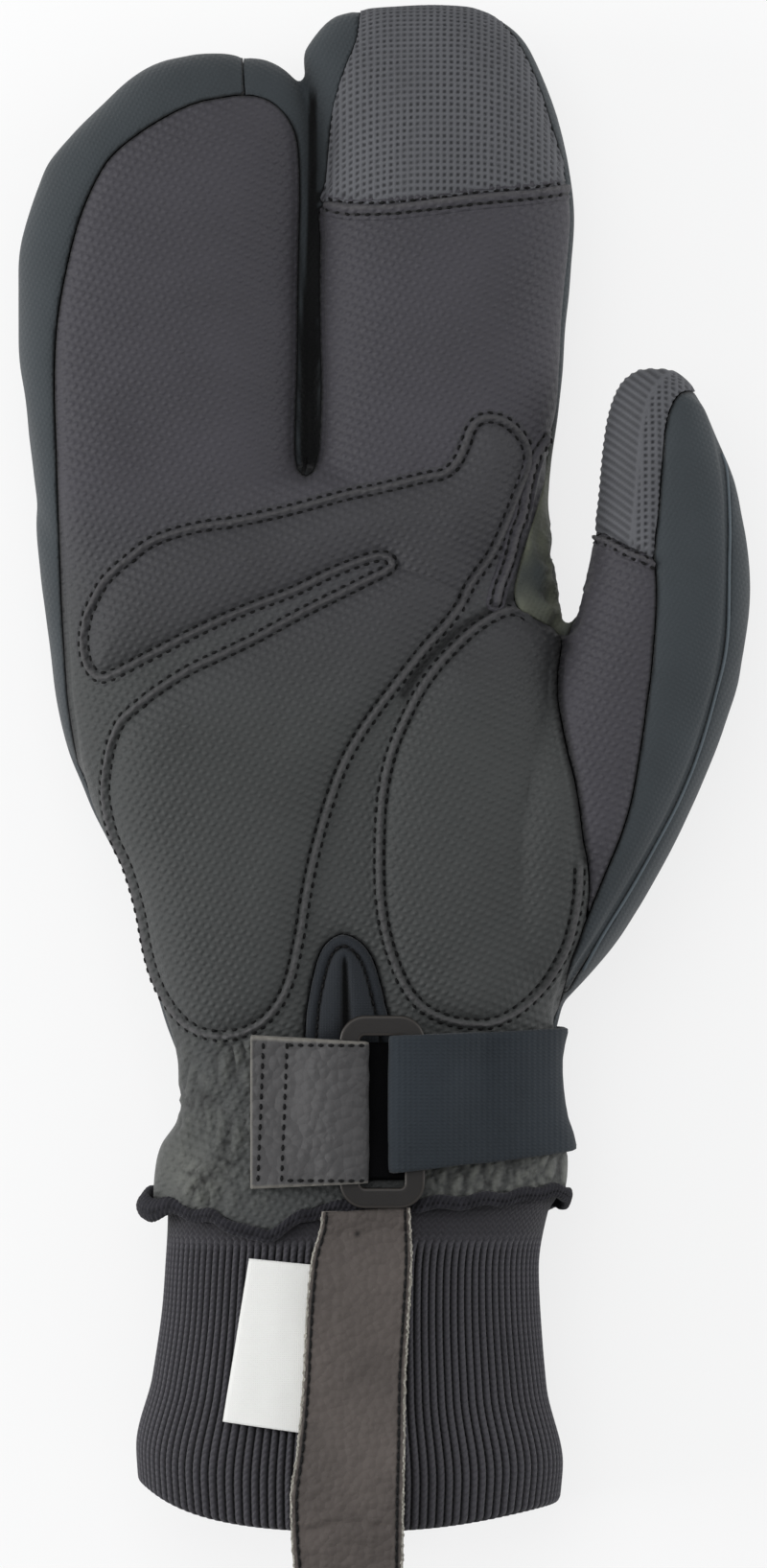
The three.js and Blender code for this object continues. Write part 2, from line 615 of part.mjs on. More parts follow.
// The largest body of a cut panel, as a mesh with its finish.
function panelMesh(name) {
  const bodies = panels[name].decompose().sort((a, b) => b.volume() - a.volume());
  const { vertProperties, triVerts } = bodies[0].getMesh();
  const geometry = new THREE.BufferGeometry();
  geometry.setAttribute("position", new THREE.BufferAttribute(vertProperties, 3));
  geometry.setIndex(new THREE.BufferAttribute(triVerts, 1));
  geometry.computeVertexNormals();
  const [color, roughness, metalness] = finishes[finishOf[name]];
  const mesh = new THREE.Mesh(
    geometry,
    new THREE.MeshStandardMaterial({ color, roughness, metalness }),
  );
  mesh.name = name;
  return mesh;
}

// The mitt stands over its own middle, with the back on z = 0.
const mitt = new THREE.Group();
for (const name of Object.keys(finishOf)) mitt.add(panelMesh(name));
const box = new THREE.Box3().setFromObject(mitt);
const centre = box.getCenter(new THREE.Vector3());
mitt.position.set(-centre.x, -centre.y, -box.min.z);

const root = new THREE.Group();
root.add(mitt);
export default root;
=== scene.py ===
import math

import bmesh
import bpy
import numpy as np
from mathutils import Matrix, Vector
from mathutils.bvhtree import BVHTree


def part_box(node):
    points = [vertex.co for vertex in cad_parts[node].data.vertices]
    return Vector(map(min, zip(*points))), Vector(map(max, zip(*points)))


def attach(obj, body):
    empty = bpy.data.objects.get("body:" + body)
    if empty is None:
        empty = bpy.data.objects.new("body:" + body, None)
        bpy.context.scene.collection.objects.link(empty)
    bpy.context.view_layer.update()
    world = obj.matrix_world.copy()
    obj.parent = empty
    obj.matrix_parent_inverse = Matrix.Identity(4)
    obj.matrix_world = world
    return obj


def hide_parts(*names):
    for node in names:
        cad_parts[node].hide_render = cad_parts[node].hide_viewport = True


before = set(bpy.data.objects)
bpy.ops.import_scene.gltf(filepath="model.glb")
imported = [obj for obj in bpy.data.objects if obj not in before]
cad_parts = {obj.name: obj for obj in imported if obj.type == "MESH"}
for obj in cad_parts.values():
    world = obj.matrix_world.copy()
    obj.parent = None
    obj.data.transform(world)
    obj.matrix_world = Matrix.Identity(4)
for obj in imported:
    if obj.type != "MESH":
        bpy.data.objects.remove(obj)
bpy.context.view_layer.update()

# Shapes are drawn in the pattern's own millimetres, wrist seam at y = 0, and put in place at the end.
pattern = {"ringX": 5.4, "ringY": 15.7}
ringLow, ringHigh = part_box("strap_ring")
ringAt = (ringLow + ringHigh) / 2
toRow = Matrix.Translation((ringAt.x - pattern["ringX"] * 0.001, ringAt.y - pattern["ringY"] * 0.001, 0))
toRow = toRow @ Matrix.Scale(0.001, 4)


def smoothRows(rows, at):
    table = np.array(rows, float)
    x, y = table[:, 0], table[:, 1:]
    rise = np.diff(y, axis=0) / np.diff(x)[:, None]
    slope = np.zeros_like(y)
    before, after = rise[:-1], rise[1:]
    same = before * after > 0
    slope[1:-1][same] = 2 * before[same] * after[same] / (before[same] + after[same])
    slope[0], slope[-1] = rise[0], rise[-1]
    k = np.clip(np.searchsorted(x, at, side="right") - 1, 0, len(x) - 2)
    span = (x[k + 1] - x[k])[:, None]
    t = np.clip((np.asarray(at) - x[k])[:, None] / span, 0, 1)
    return (
        y[k] * (1 + 2 * t) * (1 - t) ** 2 + slope[k] * span * t * (1 - t) ** 2
        + y[k + 1] * t * t * (3 - 2 * t) - slope[k + 1] * span * t * t * (1 - t)
    )


def smoothLine(points, step, closed=True):
    p = np.array(points, float)
    p = np.vstack([p[-1:], p, p[:2]]) if closed else np.vstack([2 * p[0] - p[1], p, 2 * p[-1] - p[-2]])
    parts = []
    for k in range(1, len(p) - 2):
        a, b, c, d = p[k - 1:k + 3]
        count = max(int(round(np.linalg.norm(c - b) / step)), 1)
        t = (np.arange(count) / count)[:, None]
        bend, twist = 2 * a - 5 * b + 4 * c - d, 3 * b - a - 3 * c + d
        parts.append(0.5 * (2 * b + (c - a) * t + bend * t**2 + twist * t**3))
    line = np.vstack(parts)
    return line if closed else np.vstack([line, p[-2:-1]])


def evenLine(line, pitch, closed=False):
    if closed:
        line = np.vstack([line, line[:1]])
    length = np.concatenate([[0], np.cumsum(np.linalg.norm(np.diff(line, axis=0), axis=1))])
    at = np.linspace(0, length[-1], max(int(round(length[-1] / pitch)), 1) + 1)
    return np.stack([np.interp(at, length, line[:, i]) for i in range(line.shape[1])], 1)


def softNoise(points, size, seed):
    table = np.random.RandomState(seed).uniform(-1, 1, (16, 16, 16))
    p = points / np.array(size, float)
    cell = np.floor(p).astype(int)
    t = p - cell
    t = t * t * (3 - 2 * t)
    total = np.zeros(len(points))
    for corner in np.ndindex(2, 2, 2):
        weight = np.prod(np.where(corner, t, 1 - t), axis=1)
        i = (cell + corner) % 16
        total += weight * table[i[:, 0], i[:, 1], i[:, 2]]
    return total


def ease(value, low, high):
    t = np.clip((value - low) / (high - low), 0, 1)
    return t * t * (3 - 2 * t)


def outlineDistance(points, outline, closed=True, reach=9.0):
    flat = points[:, :2]
    low, high = outline.min(0) - reach, outline.max(0) + reach
    near = np.where(np.all((flat > low) & (flat < high), axis=1))[0]
    p = flat[near]
    best = np.full(len(p), 1e9)
    inside = np.zeros(len(p), bool)
    ends = np.roll(outline, -1, axis=0) if closed else outline[1:]
    for a, b in zip(outline, ends):
        edge = b - a
        t = np.clip(((p - a) @ edge) / max(edge @ edge, 1e-9), 0, 1)
        gap = p - a - t[:, None] * edge
        best = np.minimum(best, gap[:, 0] ** 2 + gap[:, 1] ** 2)
        if closed and a[1] != b[1]:
            crossing = (a[1] > p[:, 1]) != (b[1] > p[:, 1])
            inside ^= crossing & (p[:, 0] < a[0] + (p[:, 1] - a[1]) * edge[0] / edge[1])
    result = np.full(len(points), reach)
    result[near] = np.sqrt(best)
    result[near[inside]] *= -1
    return np.clip(result, -reach, reach)


def coords(verts):
    return np.array([v.co for v in verts], float).reshape(-1, 3)


def moveVerts(verts, points):
    for vert, point in zip(verts, points):
        vert.co = point


def closedForm(bm, across, along, shape):
    made = bmesh.ops.create_grid(bm, x_segments=across, y_segments=along, size=1)["verts"]
    flat = coords(made)
    moveVerts(made, shape((flat[:, 0] + 1) / 2, (flat[:, 1] + 1) / 2))
    bmesh.ops.remove_doubles(bm, verts=made, dist=1e-4)
    bmesh.ops.holes_fill(bm, edges=[e for e in bm.edges if e.is_boundary], sides=0)
    return bm


def settle(bm):
    bmesh.ops.recalc_face_normals(bm, faces=bm.faces)
    bm.normal_update()
    return bm


def setMarks(bm, marks):
    for key, values in marks.items():
        layer = bm.verts.layers.float.new(key)
        for vert, amount in zip(bm.verts, values):
            vert[layer] = float(amount)


def makePiece(bm, name, material, stands=(), wall=0.0):
    bmesh.ops.transform(bm, matrix=toRow, verts=bm.verts)
    head, *rest = name.split("_")
    name = head + "".join(word.capitalize() for word in rest)
    mesh = bpy.data.meshes.new(name)
    bm.to_mesh(mesh)
    bm.free()
    mesh.polygons.foreach_set("use_smooth", [True] * len(mesh.polygons))
    mesh.materials.append(material)
    piece = bpy.data.objects.new(name, mesh)
    bpy.context.scene.collection.objects.link(piece)
    if wall:
        solid = piece.modifiers.new("wall", "SOLIDIFY")
        solid.thickness = wall * 0.001
        solid.offset = -1
    if stands:
        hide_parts(*stands)
    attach(piece, "root")
    return piece


# Materials: each is a tree on Object coordinates, in metres, with the piece's own attributes.
def addNode(tree, kind, inputs=(), **settings):
    node = tree.nodes.new(kind)
    for key, value in settings.items():
        setattr(node, key, value)
    for key, value in dict(inputs).items():
        if isinstance(value, bpy.types.NodeSocket):
            tree.links.new(value, node.inputs[key])
        else:
            node.inputs[key].default_value = value
    return node


def mathOf(tree, first, second, operation):
    return addNode(tree, "ShaderNodeMath", {0: first, 1: second}, operation=operation).outputs[0]


def blendColor(tree, factor, first, second, mode="MIX"):
    node = addNode(tree, "ShaderNodeMix", data_type="RGBA", blend_type=mode)
    for socket, value in ((node.inputs[0], factor), (node.inputs[6], first), (node.inputs[7], second)):
        if isinstance(value, bpy.types.NodeSocket):
            tree.links.new(value, socket)
        else:
            socket.default_value = value
    return node.outputs[2]


def linear(color):
    return tuple(c / 12.92 if c <= 0.04045 else ((c + 0.055) / 1.055) ** 2.4 for c in color) + (1.0,)


def shade(color, amount):
    return tuple(min(c * amount, 1) for c in color[:3]) + (1.0,)


def place3d(tree, turn=0.0):
    spot = addNode(tree, "ShaderNodeTexCoord").outputs["Object"]
    return addNode(tree, "ShaderNodeMapping", {"Vector": spot, "Rotation": (0, 0, turn)}).outputs[0]


def noiseOf(tree, scale, detail, roughness=0.5):
    settings = {"Vector": place3d(tree), "Scale": scale, "Detail": detail, "Roughness": roughness}
    return addNode(tree, "ShaderNodeTexNoise", settings).outputs["Fac"]


def waveOf(tree, pitch, axis, turn, warp):
    scale = 2 * math.pi / pitch / 20  # the node's own bands are 20 to a turn
    settings = {"Vector": place3d(tree, turn), "Scale": scale, "Distortion": warp, "Detail": 1.0, "Detail Scale": 3.0}
    return addNode(tree, "ShaderNodeTexWave", settings, bands_direction=axis).outputs["Fac"]


def ramp(tree, value, low, high, toLow=0.0, toHigh=1.0):
    settings = {"Value": value, "From Min": low, "From Max": high, "To Min": toLow, "To Max": toHigh}
    return addNode(tree, "ShaderNodeMapRange", settings).outputs[0]


def attributeOf(tree, name):
    return addNode(tree, "ShaderNodeAttribute", attribute_name=name).outputs["Fac"]


def bumpOf(tree, height, distance, strength, under):
    inputs = {"Height": height, "Distance": distance, "Strength": strength}
    if under is not None:
        inputs["Normal"] = under
    return addNode(tree, "ShaderNodeBump", inputs).outputs[0]


def fabricMaterial(name, look):
    material = bpy.data.materials.new(name)
    material.use_nodes = True
    tree = material.node_tree
    shader = tree.nodes["Principled BSDF"]
    base = linear(look["color"])
    uneven = look.get("mottle", 0.12)
    mottle = ramp(tree, noiseOf(tree, look.get("mottleScale", 60.0), 4.0), 0.3, 0.7)
    color = blendColor(tree, mottle, shade(base, 1 - uneven), shade(base, 1 + uneven))
    heights = []
    if "pebble" in look:  # a close pattern of small raised dashes
        size, depth = look["pebble"]
        one = waveOf(tree, size, "X", 0.6, 0.6)
        two = waveOf(tree, size * 1.15, "X", 1.95, 0.6)
        pebble = mathOf(tree, one, two, "MULTIPLY")
        heights.append((pebble, depth))
        color = blendColor(tree, ramp(tree, pebble, 0.25, 0.8, 0.0, look["pebbleTint"]), color, shade(base, 1.5))
    if "weave" in look:
        pitch, depth = look["weave"]
        turn = look.get("weaveTurn", 0.0)
        over = waveOf(tree, pitch, "X", turn, 0.3)
        under = waveOf(tree, pitch * look.get("weaveRatio", 1.0), "Y", turn, 0.3)
        weave = mathOf(tree, over, under, "MULTIPLY")
        heights.append((weave, depth))
        color = blendColor(tree, ramp(tree, weave, 0.0, 0.8, 0.0, look["weaveTint"]), color, shade(base, 1.45))
    if "grain" in look:
        scale, depth = look["grain"]
        cells = addNode(tree, "ShaderNodeTexVoronoi", {"Vector": place3d(tree), "Scale": scale}, feature="F1")
        heights.append((mathOf(tree, 1.0, cells.outputs["Distance"], "SUBTRACT"), depth))
    fine = noiseOf(tree, look.get("fuzzScale", 2600.0), 3.0, 0.7)
    heights.append((fine, look.get("fuzz", 0.00012)))
    normal = None
    for height, depth in heights:
        normal = bumpOf(tree, height, depth, 0.7, normal)
    color = blendColor(tree, ramp(tree, fine, 0.35, 0.65, 0.0, look.get("speck", 0.16)), color, shade(base, 1.6))
    if "olive" in look:
        tinted = blendColor(tree, 1.0, color, linear(look["olive"]), "MULTIPLY")
        color = blendColor(tree, attributeOf(tree, "olive"), color, tinted)
    for key, tint, low, high in look.get("marks", ()):
        mark = ramp(tree, attributeOf(tree, key), low, high)
        color = blendColor(tree, mark, color, linear(tint))
    if look.get("loops"):  # knit loops along each rib, from the cuff's own run and rib marks
        run = mathOf(tree, attributeOf(tree, "run"), 5.2, "MULTIPLY")
        rib = mathOf(tree, attributeOf(tree, "rib"), math.pi * 2, "MULTIPLY")
        lean = mathOf(tree, mathOf(tree, rib, 0.0, "SINE"), 1.3, "MULTIPLY")
        loop = mathOf(tree, mathOf(tree, run, lean, "ADD"), 0.0, "SINE")
        normal = bumpOf(tree, loop, 0.00012, 0.6, normal)
        color = blendColor(tree, ramp(tree, loop, -1.0, -0.2, 0.3, 0.0), color, shade(base, 0.35))
    rough = ramp(tree, mottle, 0.0, 1.0, look["rough"] - 0.05, look["rough"] + 0.05)
    tree.links.new(color, shader.inputs["Base Color"])
    tree.links.new(rough, shader.inputs["Roughness"])
    tree.links.new(normal, shader.inputs["Normal"])
    shader.inputs["Sheen Weight"].default_value = look.get("sheen", 0.0)
    shader.inputs["Sheen Roughness"].default_value = 0.5
    shader.inputs["Metallic"].default_value = look.get("metal", 0.0)
    shader.inputs["Specular IOR Level"].default_value = look.get("gloss", 0.4)
    return material


looks = {
    "softshell": {"color": (0.196, 0.214, 0.226), "rough": 0.78, "sheen": 0.1, "weave": (0.0009, 0.00012),
                  "weaveTurn": 0.5, "weaveTint": 0.14, "mottle": 0.12, "gloss": 0.15,
                  # the seam mark here also holds painted shade deep in the slit gap; the pale mark is painted light in
                  # the back shell's nook between thumb and fingers.
                  "marks": (("seam", (0.03, 0.033, 0.036), 0.3, 1.0), ("worn", (0.39, 0.4, 0.35), 0.0, 1.0))},
    "leather": {"color": (0.212, 0.207, 0.226), "rough": 0.6, "sheen": 0.06, "pebble": (0.0015, 0.00035),
                "pebbleTint": 0.4, "grain": (1500.0, 0.00008), "mottle": 0.13, "gloss": 0.22,
                "olive": (0.955, 1.0, 0.925),
                # the seam mark here also holds painted shade along the creases by the thenar pad and the thumb's seam;
                # groove is painted shade in the dips along the stitch rows.
                "marks": (("seam", (0.03, 0.03, 0.035), 0.35, 1.0), ("groove", (0.1, 0.1, 0.1), 0.4, 1.0),
                          # ridge is a painted highlight on the raised ridges between the stitch rows; the pale mark is
                          # painted light at the wrist's lower left and on the gathers' crests.
                          ("ridge", (0.28, 0.275, 0.28), 0.2, 1.2), ("worn", (0.42, 0.425, 0.4), 0.0, 1.0),
                          # valley is painted shade in the gathers' valleys, and on the pads a darkening towards their
                          # upper end.
                          ("valley", (0.1, 0.1, 0.095), 0.1, 1.0))},
    "grip": {"color": (0.315, 0.318, 0.332), "rough": 0.7, "mottle": 0.1, "grain": (2400.0, 0.00005), "gloss": 0.2,
             "marks": (("pit", (0.165, 0.167, 0.177), 0.05, 1.1),)},
    "stretch": {"color": (0.13, 0.143, 0.16), "rough": 0.85, "sheen": 0.1, "weave": (0.0005, 0.0001),
                # the seam mark here also holds painted shade in the arch's stitched groove and middle crease.
                "weaveTint": 0.25, "mottle": 0.1, "gloss": 0.15, "marks": (("seam", (0.012, 0.013, 0.016), 0.2, 0.9),)},
    "knit": {"color": (0.25, 0.246, 0.262), "rough": 0.92, "sheen": 0.12, "fuzz": 0.0003, "mottle": 0.12,
             "gloss": 0.08, "speck": 0.24, "loops": True,
             # the valley mark is painted shade between the ribs, plus a darker plain band under the binding.
             "marks": (("valley", (0.035, 0.034, 0.042), 0.1, 0.75),)},
    "elastic": {"color": (0.15, 0.168, 0.186), "rough": 0.88, "sheen": 0.06, "weave": (0.0011, 0.0002),
                "weaveRatio": 0.65, "weaveTint": 0.14, "mottle": 0.18, "gloss": 0.1, "fuzzScale": 1500.0,
                "speck": 0.22},
    "tab": {"color": (0.232, 0.229, 0.232), "rough": 0.58, "sheen": 0.05, "grain": (520.0, 0.0007), "mottle": 0.12,
            "gloss": 0.25, "marks": (("raw", (0.4, 0.39, 0.37), 0.2, 0.9),)},
    "strap": {"color": (0.285, 0.262, 0.25), "rough": 0.66, "sheen": 0.08, "grain": (640.0, 0.0006),
              "mottle": 0.2, "gloss": 0.2,
              "marks": (("groove", (0.05, 0.042, 0.04), 0.2, 0.8), ("raw", (0.5, 0.48, 0.45), 0.2, 0.9),
                        ("spot", (0.06, 0.05, 0.045), 0.2, 1.0))},
    "raw": {"color": (0.56, 0.55, 0.52), "rough": 0.95, "mottle": 0.4, "mottleScale": 900.0, "fuzz": 0.0004,
            "gloss": 0.1},
    "piping": {"color": (0.33, 0.36, 0.38), "rough": 0.8, "mottle": 0.1, "gloss": 0.15},
    "binding": {"color": (0.15, 0.148, 0.165), "rough": 0.9, "sheen": 0.08, "mottle": 0.35, "mottleScale": 700.0,
                "fuzz": 0.0004, "gloss": 0.1, "marks": (("groove", (0.03, 0.03, 0.036), 0.2, 0.9),)},
    "lining": {"color": (0.05, 0.05, 0.055), "rough": 0.95, "fuzz": 0.0003, "gloss": 0.05},
    "thread": {"color": (0.045, 0.044, 0.046), "rough": 0.65, "mottle": 0.15, "mottleScale": 800.0, "gloss": 0.15},
    "label": {"color": (0.82, 0.82, 0.81), "rough": 0.6, "weave": (0.0004, 0.00005), "weaveTint": 0.02,
              "mottle": 0.03, "speck": 0.0, "gloss": 0.2},
    "ring": {"color": (0.09, 0.08, 0.075), "rough": 0.42, "metal": 0.1, "mottle": 0.15, "fuzz": 0.00004,
             "gloss": 0.3, "marks": (("wear", (0.24, 0.225, 0.21), 0.4, 1.0),)},
}
materials = {name: fabricMaterial(name, look) for name, look in looks.items()}
print("materials ready:", len(materials))


# The hand's skin: four lofted forms grown together.
hand = {
    "voxel": 0.99, "smoothing": 6, "around": 150, "steps": 130, "wall": 1.1, "regain": 0.15,
    "lining": 2.1, "liningWall": 0.7, "liningVoxel": 2.0, "liningStart": 3.4,
}
# Rows across the hand: y, left, right, low, high, squareness, hollow of the palm.
palmRows = [
    (-10.0, -39.4, 41.0, 3.2, 44.6, 2.3, 0.0), (0.0, -39.2, 41.4, 3.2, 44.6, 2.3, 0.0),
    (7.4, -38.2, 41.4, 3.7, 43.7, 2.3, 0.46), (15.0, -33.9, 39.2, 4.6, 42.6, 2.3, 0.46),
    (24.5, -34.4, 38.4, 4.6, 42.6, 2.3, 0.92), (33.7, -37.4, 40.2, 2.8, 44.4, 2.4, 2.3),
    (45.0, -40.7, 43.1, 0.0, 46.5, 2.5, 3.9), (60.1, -44.6, 44.3, -1.8, 47.8, 2.6, 3.9),
    (75.1, -51.4, 44.6, -2.3, 47.8, 2.6, 3.2), (91.9, -57.5, 43.9, -2.3, 46.9, 2.7, 2.3),
    (108.8, -60.0, 40.9, -1.8, 45.1, 2.8, 1.4), (119.9, -61.3, 38.6, -1.4, 43.7, 2.9, 0.9),
    (131.2, -62.2, 38.0, -0.9, 42.3, 3.0, 0.5), (137.4, -60.3, 36.3, 1.4, 40.0, 2.9, 0.0),
    (140.9, -55.9, 32.3, 4.6, 35.9, 2.6, 0.0),
]
outerRows = [
    (119.9, -57.3, -13.1, 4.6, 39.6, 3.4, 0), (131.2, -61.4, -10.6, 0.5, 41.6, 3.4, 0),
    (142.5, -63.0, -9.2, 0.5, 40.7, 3.2, 0), (153.8, -64.5, -9.0, 1.8, 40.0, 2.9, 0),
    (166.8, -66.0, -8.9, 3.7, 39.6, 2.6, 0), (179.9, -66.0, -8.7, 5.5, 39.1, 2.4, 0),
    (198.7, -60.8, -8.1, 8.7, 38.2, 2.4, 0), (206.3, -55.1, -8.2, 10.6, 37.7, 2.4, 0),
    (212.8, -48.4, -9.6, 12.9, 36.8, 2.3, 0), (217.6, -42.9, -12.3, 15.6, 35.4, 2.3, 0),
    (220.4, -37.8, -16.5, 18.4, 33.1, 2.2, 0), (221.8, -31.0, -23.4, 21.2, 30.4, 2.2, 0),
]
innerRows = [
    (119.9, -6.6, 34.9, 4.6, 39.6, 3.4, 0), (131.2, -8.4, 37.2, 0.5, 41.6, 3.4, 0),
    (142.5, -8.9, 38.4, 0.5, 40.7, 3.2, 0), (153.8, -8.8, 40.0, 1.8, 40.0, 2.9, 0),
    (166.8, -8.5, 41.1, 3.2, 39.6, 2.6, 0), (189.4, -8.1, 43.1, 6.0, 38.6, 2.4, 0),
    (198.7, -7.9, 42.0, 7.4, 38.2, 2.4, 0), (208.1, -7.9, 40.0, 9.2, 37.7, 2.4, 0),
    (215.5, -9.4, 37.7, 11.0, 37.3, 2.4, 0), (221.3, -10.1, 35.1, 12.9, 36.3, 2.4, 0),
    (225.9, -7.6, 32.0, 15.2, 35.0, 2.3, 0), (229.2, -4.5, 27.5, 17.9, 33.1, 2.2, 0),
    (231.0, 0.4, 22.8, 21.2, 30.4, 2.2, 0),
]
thumbRows = [
    (37.5, 18.5, 42.2, 9.2, 36.8, 2.3, 0), (46.9, 20.4, 50.6, 5.5, 41.4, 2.3, 0),
    (56.3, 22.3, 56.8, 5.1, 43.2, 2.3, 0), (78.9, 27.9, 68.0, 6.4, 45.1, 2.3, 0),
    (90.1, 32.6, 72.5, 8.3, 45.1, 2.3, 0), (101.4, 37.7, 75.6, 11.0, 45.1, 2.3, 0),
    (116.4, 44.4, 77.4, 14.3, 45.1, 2.3, 0), (135.2, 47.6, 75.0, 18.4, 45.1, 2.3, 0),
    (142.8, 48.5, 72.7, 20.2, 45.1, 2.3, 0), (149.4, 49.5, 70.3, 22.5, 44.6, 2.3, 0),
    (154.0, 50.8, 68.1, 24.4, 43.9, 2.3, 0), (157.4, 52.7, 64.7, 27.1, 42.8, 2.3, 0),
    (159.5, 55.7, 61.7, 30.8, 40.0, 2.3, 0),
]


def squircle(angle, square):
    c, s = np.cos(angle), np.sin(angle)
    return np.sign(c) * np.abs(c) ** (2 / square), np.sign(s) * np.abs(s) ** (2 / square)


def sectionPoints(rows, at, angle, grow=0.0):
    left, right, low, high, square, valley = smoothRows(rows, at).T
    across, up = squircle(angle, square)
    sunk = np.where(up > 0, valley * up * (1 - across**2) ** 2, 0)
    x = (left + right) / 2 + across * np.maximum((right - left) / 2 + grow, 0.4)
    z = (low + high) / 2 + up * np.maximum((high - low) / 2 + grow, 0.4) - sunk
    return np.stack([x, at, z], 1)


def handForm(grow):
    bm = bmesh.new()
    for rows in (palmRows, outerRows, innerRows, thumbRows):
        base, tip = rows[0][0], rows[-1][0]

        def shape(u, v, rows=rows, base=base, tip=tip):
            at = base + (tip - base) * (1 - (1 - v) ** 1.4)
            points = sectionPoints(rows, at, 2 * np.pi * u, grow)
            points[:, 1] = base + (at - base) * (tip + grow - base) / (tip - base)
            return points

        closedForm(bm, hand["around"], hand["steps"], shape)
    return settle(bm)


def grownTogether(bm, voxel, smoothing):
    mesh = bpy.data.meshes.new("forms")
    bm.to_mesh(mesh)
    bm.free()
    forms = bpy.data.objects.new("forms", mesh)
    bpy.context.scene.collection.objects.link(forms)
    remesh = forms.modifiers.new("voxels", "REMESH")
    remesh.mode = "VOXEL"
    remesh.voxel_size = voxel
    made = bmesh.new()
    made.from_object(forms, bpy.context.evaluated_depsgraph_get())
    bpy.data.objects.remove(forms)
    for _ in range(smoothing):
        bmesh.ops.smooth_vert(made, verts=made.verts, factor=0.5, use_axis_x=True, use_axis_y=True, use_axis_z=True)
    made.normal_update()
    return made


skin = grownTogether(handForm(hand["regain"]), hand["voxel"], hand["smoothing"])
print("skin:", len(skin.verts), "points")

# Seams seen from the palm side, each with the height below which its panel ends.
# What two panels share is written once.
tipEdge = [(6.0, 192.0), (15.6, 192.9), (22.7, 193.9), (34.7, 194.9), (41.8, 196.3)]
thumbRoot = [
    (42.2, 45.0), (43.7, 48.8), (45.0, 53.4), (45.6, 59.1), (45.2, 64.3), (44.4, 68.4), (43.7, 74.1), (42.8, 79.7),
    (41.4, 85.3), (40.3, 90.9), (39.5, 96.0), (39.6, 101.2), (40.3, 105.8), (39.9, 108.8),
]
thumbEdge = [
    (44.6, 51.6), (47.1, 57.9), (49.1, 62.8), (51.8, 69.4), (54.0, 77.1), (55.9, 88.5), (56.6, 93.8), (57.6, 101.2),
    (58.5, 112.5), (58.5, 119.4), (57.9, 123.0),
]
thumbPatchSide = [
    (58.4, 127.5), (59.1, 133.9), (59.6, 141.0), (60.0, 145.9), (60.8, 150.6), (62.1, 153.8), (63.9, 155.4),
    (66.4, 155.4), (68.8, 153.4),
]
thumbPatchFoot = [(47.6, 128.2), (49.9, 127.1), (53.2, 125.2), (55.9, 124.1)]
palmLine = [
    (-46.9, -12.4), (-46.9, 11.2), (-43.1, 30.0), (-45.0, 45.0), (-47.2, 54.4), (-49.1, 62.8), (-51.0, 69.4),
    (-52.9, 76.9), (-54.6, 86.2), (-55.9, 94.7), (-56.4, 100.9), (-57.0, 111.0), (-57.4, 120.9), (-57.7, 131.1),
    (-58.1, 143.6), (-58.5, 156.2), (-58.2, 166.1), (-57.4, 172.9), (-56.2, 179.1), (-54.9, 184.7), (-53.2, 190.3),
    (-50.2, 197.1), (-46.9, 201.9), (-41.2, 206.4), (-35.8, 209.6), (-31.1, 211.7), (-26.2, 212.8), (-20.8, 213.4),
    (-16.7, 212.4), (-13.9, 210.2), (-12.0, 207.2), (-11.0, 202.9), (-10.7, 194.2), (-10.9, 184.7), (-11.1, 172.5),
    (-11.2, 161.2), (-11.5, 151.1), (-11.6, 144.4), (-11.1, 140.6), (-9.8, 138.9), (-8.2, 139.9), (-7.3, 142.9),
    (-6.9, 146.1), (-6.5, 156.2), (-6.8, 166.9), (-6.9, 176.2), (-6.8, 184.7), (-6.0, 192.4),
    *tipEdge, (46.9, 197.2), (45.9, 176.2), (43.5, 157.5), (41.2, 152.8), (39.6, 148.1), (37.9, 142.1),
    (36.7, 136.5), (35.2, 131.4), (33.4, 125.8), (32.1, 121.5), (31.3, 117.9), (31.1, 115.1), (32.4, 112.9),
    (34.9, 111.6), (37.5, 110.2), *thumbRoot[::-1], (40.9, 39.4), (39.9, 35.1), (40.7, 30.9), (44.1, 22.5),
    (47.8, 11.2), (50.6, 0.0), (50.6, -12.4),
]
tipLine = [
    (-6.0, 192.4), (-5.6, 196.9), (-5.2, 201.4), (-4.6, 208.5), (-3.6, 213.4), (-1.7, 219.2), (0.2, 223.9),
    (1.1, 229.7), (1.9, 238.1), (27.2, 238.1), (28.5, 228.8), (31.3, 224.8), (33.9, 220.1), (36.6, 213.4),
    (38.4, 207.6), (40.5, 201.4), *tipEdge[::-1],
]
thumbTipLine = [
    (41.2, 128.2), (41.2, 150.0), (50.6, 163.1), (61.9, 165.0), (70.3, 161.2), (71.2, 151.9),
    *thumbPatchSide[::-1], thumbEdge[-1], *thumbPatchFoot[::-1],
]
thumbPalmLine = [
    (41.2, 128.2), *thumbPatchFoot, *thumbEdge[::-1], *thumbRoot, (42.0, 111.0), (42.4, 116.2), (42.4, 121.9),
]
thumbSideLine = [
    *thumbPatchSide, (70.5, 149.1), (72.0, 142.5), (72.8, 135.4), (72.9, 126.8), (72.8, 120.0), (72.6, 112.5),
    (72.0, 105.0), (70.1, 96.2), (66.9, 85.5), (63.2, 76.3), (58.5, 67.1), (53.2, 57.9), (48.6, 50.2), (45.0, 44.6),
    (42.8, 40.9), (40.9, 37.5), (40.5, 39.4), thumbRoot[0], *thumbEdge,
]
slitLine = [
    (-20.8, 236.0), (-20.8, 210.0), (-13.0, 205.0), (-12.5, 190.0), (-13.0, 150.0), (-13.2, 141.0), (-11.8, 135.0),
    (-7.4, 135.0), (-5.9, 143.0), (-5.4, 157.0), (-4.9, 176.0), (-5.0, 192.0), (-3.0, 214.0), (1.3, 226.0),
    (2.0, 240.0), (-13.0, 240.0),
]
archLine = [
    (-10.1, 14.6), (-9.6, 30.4), (-9.0, 37.1), (-7.3, 44.8), (-5.4, 48.4), (-2.4, 50.1), (0.9, 48.8), (3.4, 45.6),
    (4.9, 41.1), (6.0, 36.4), (7.3, 30.0), (7.9, 14.6),
]
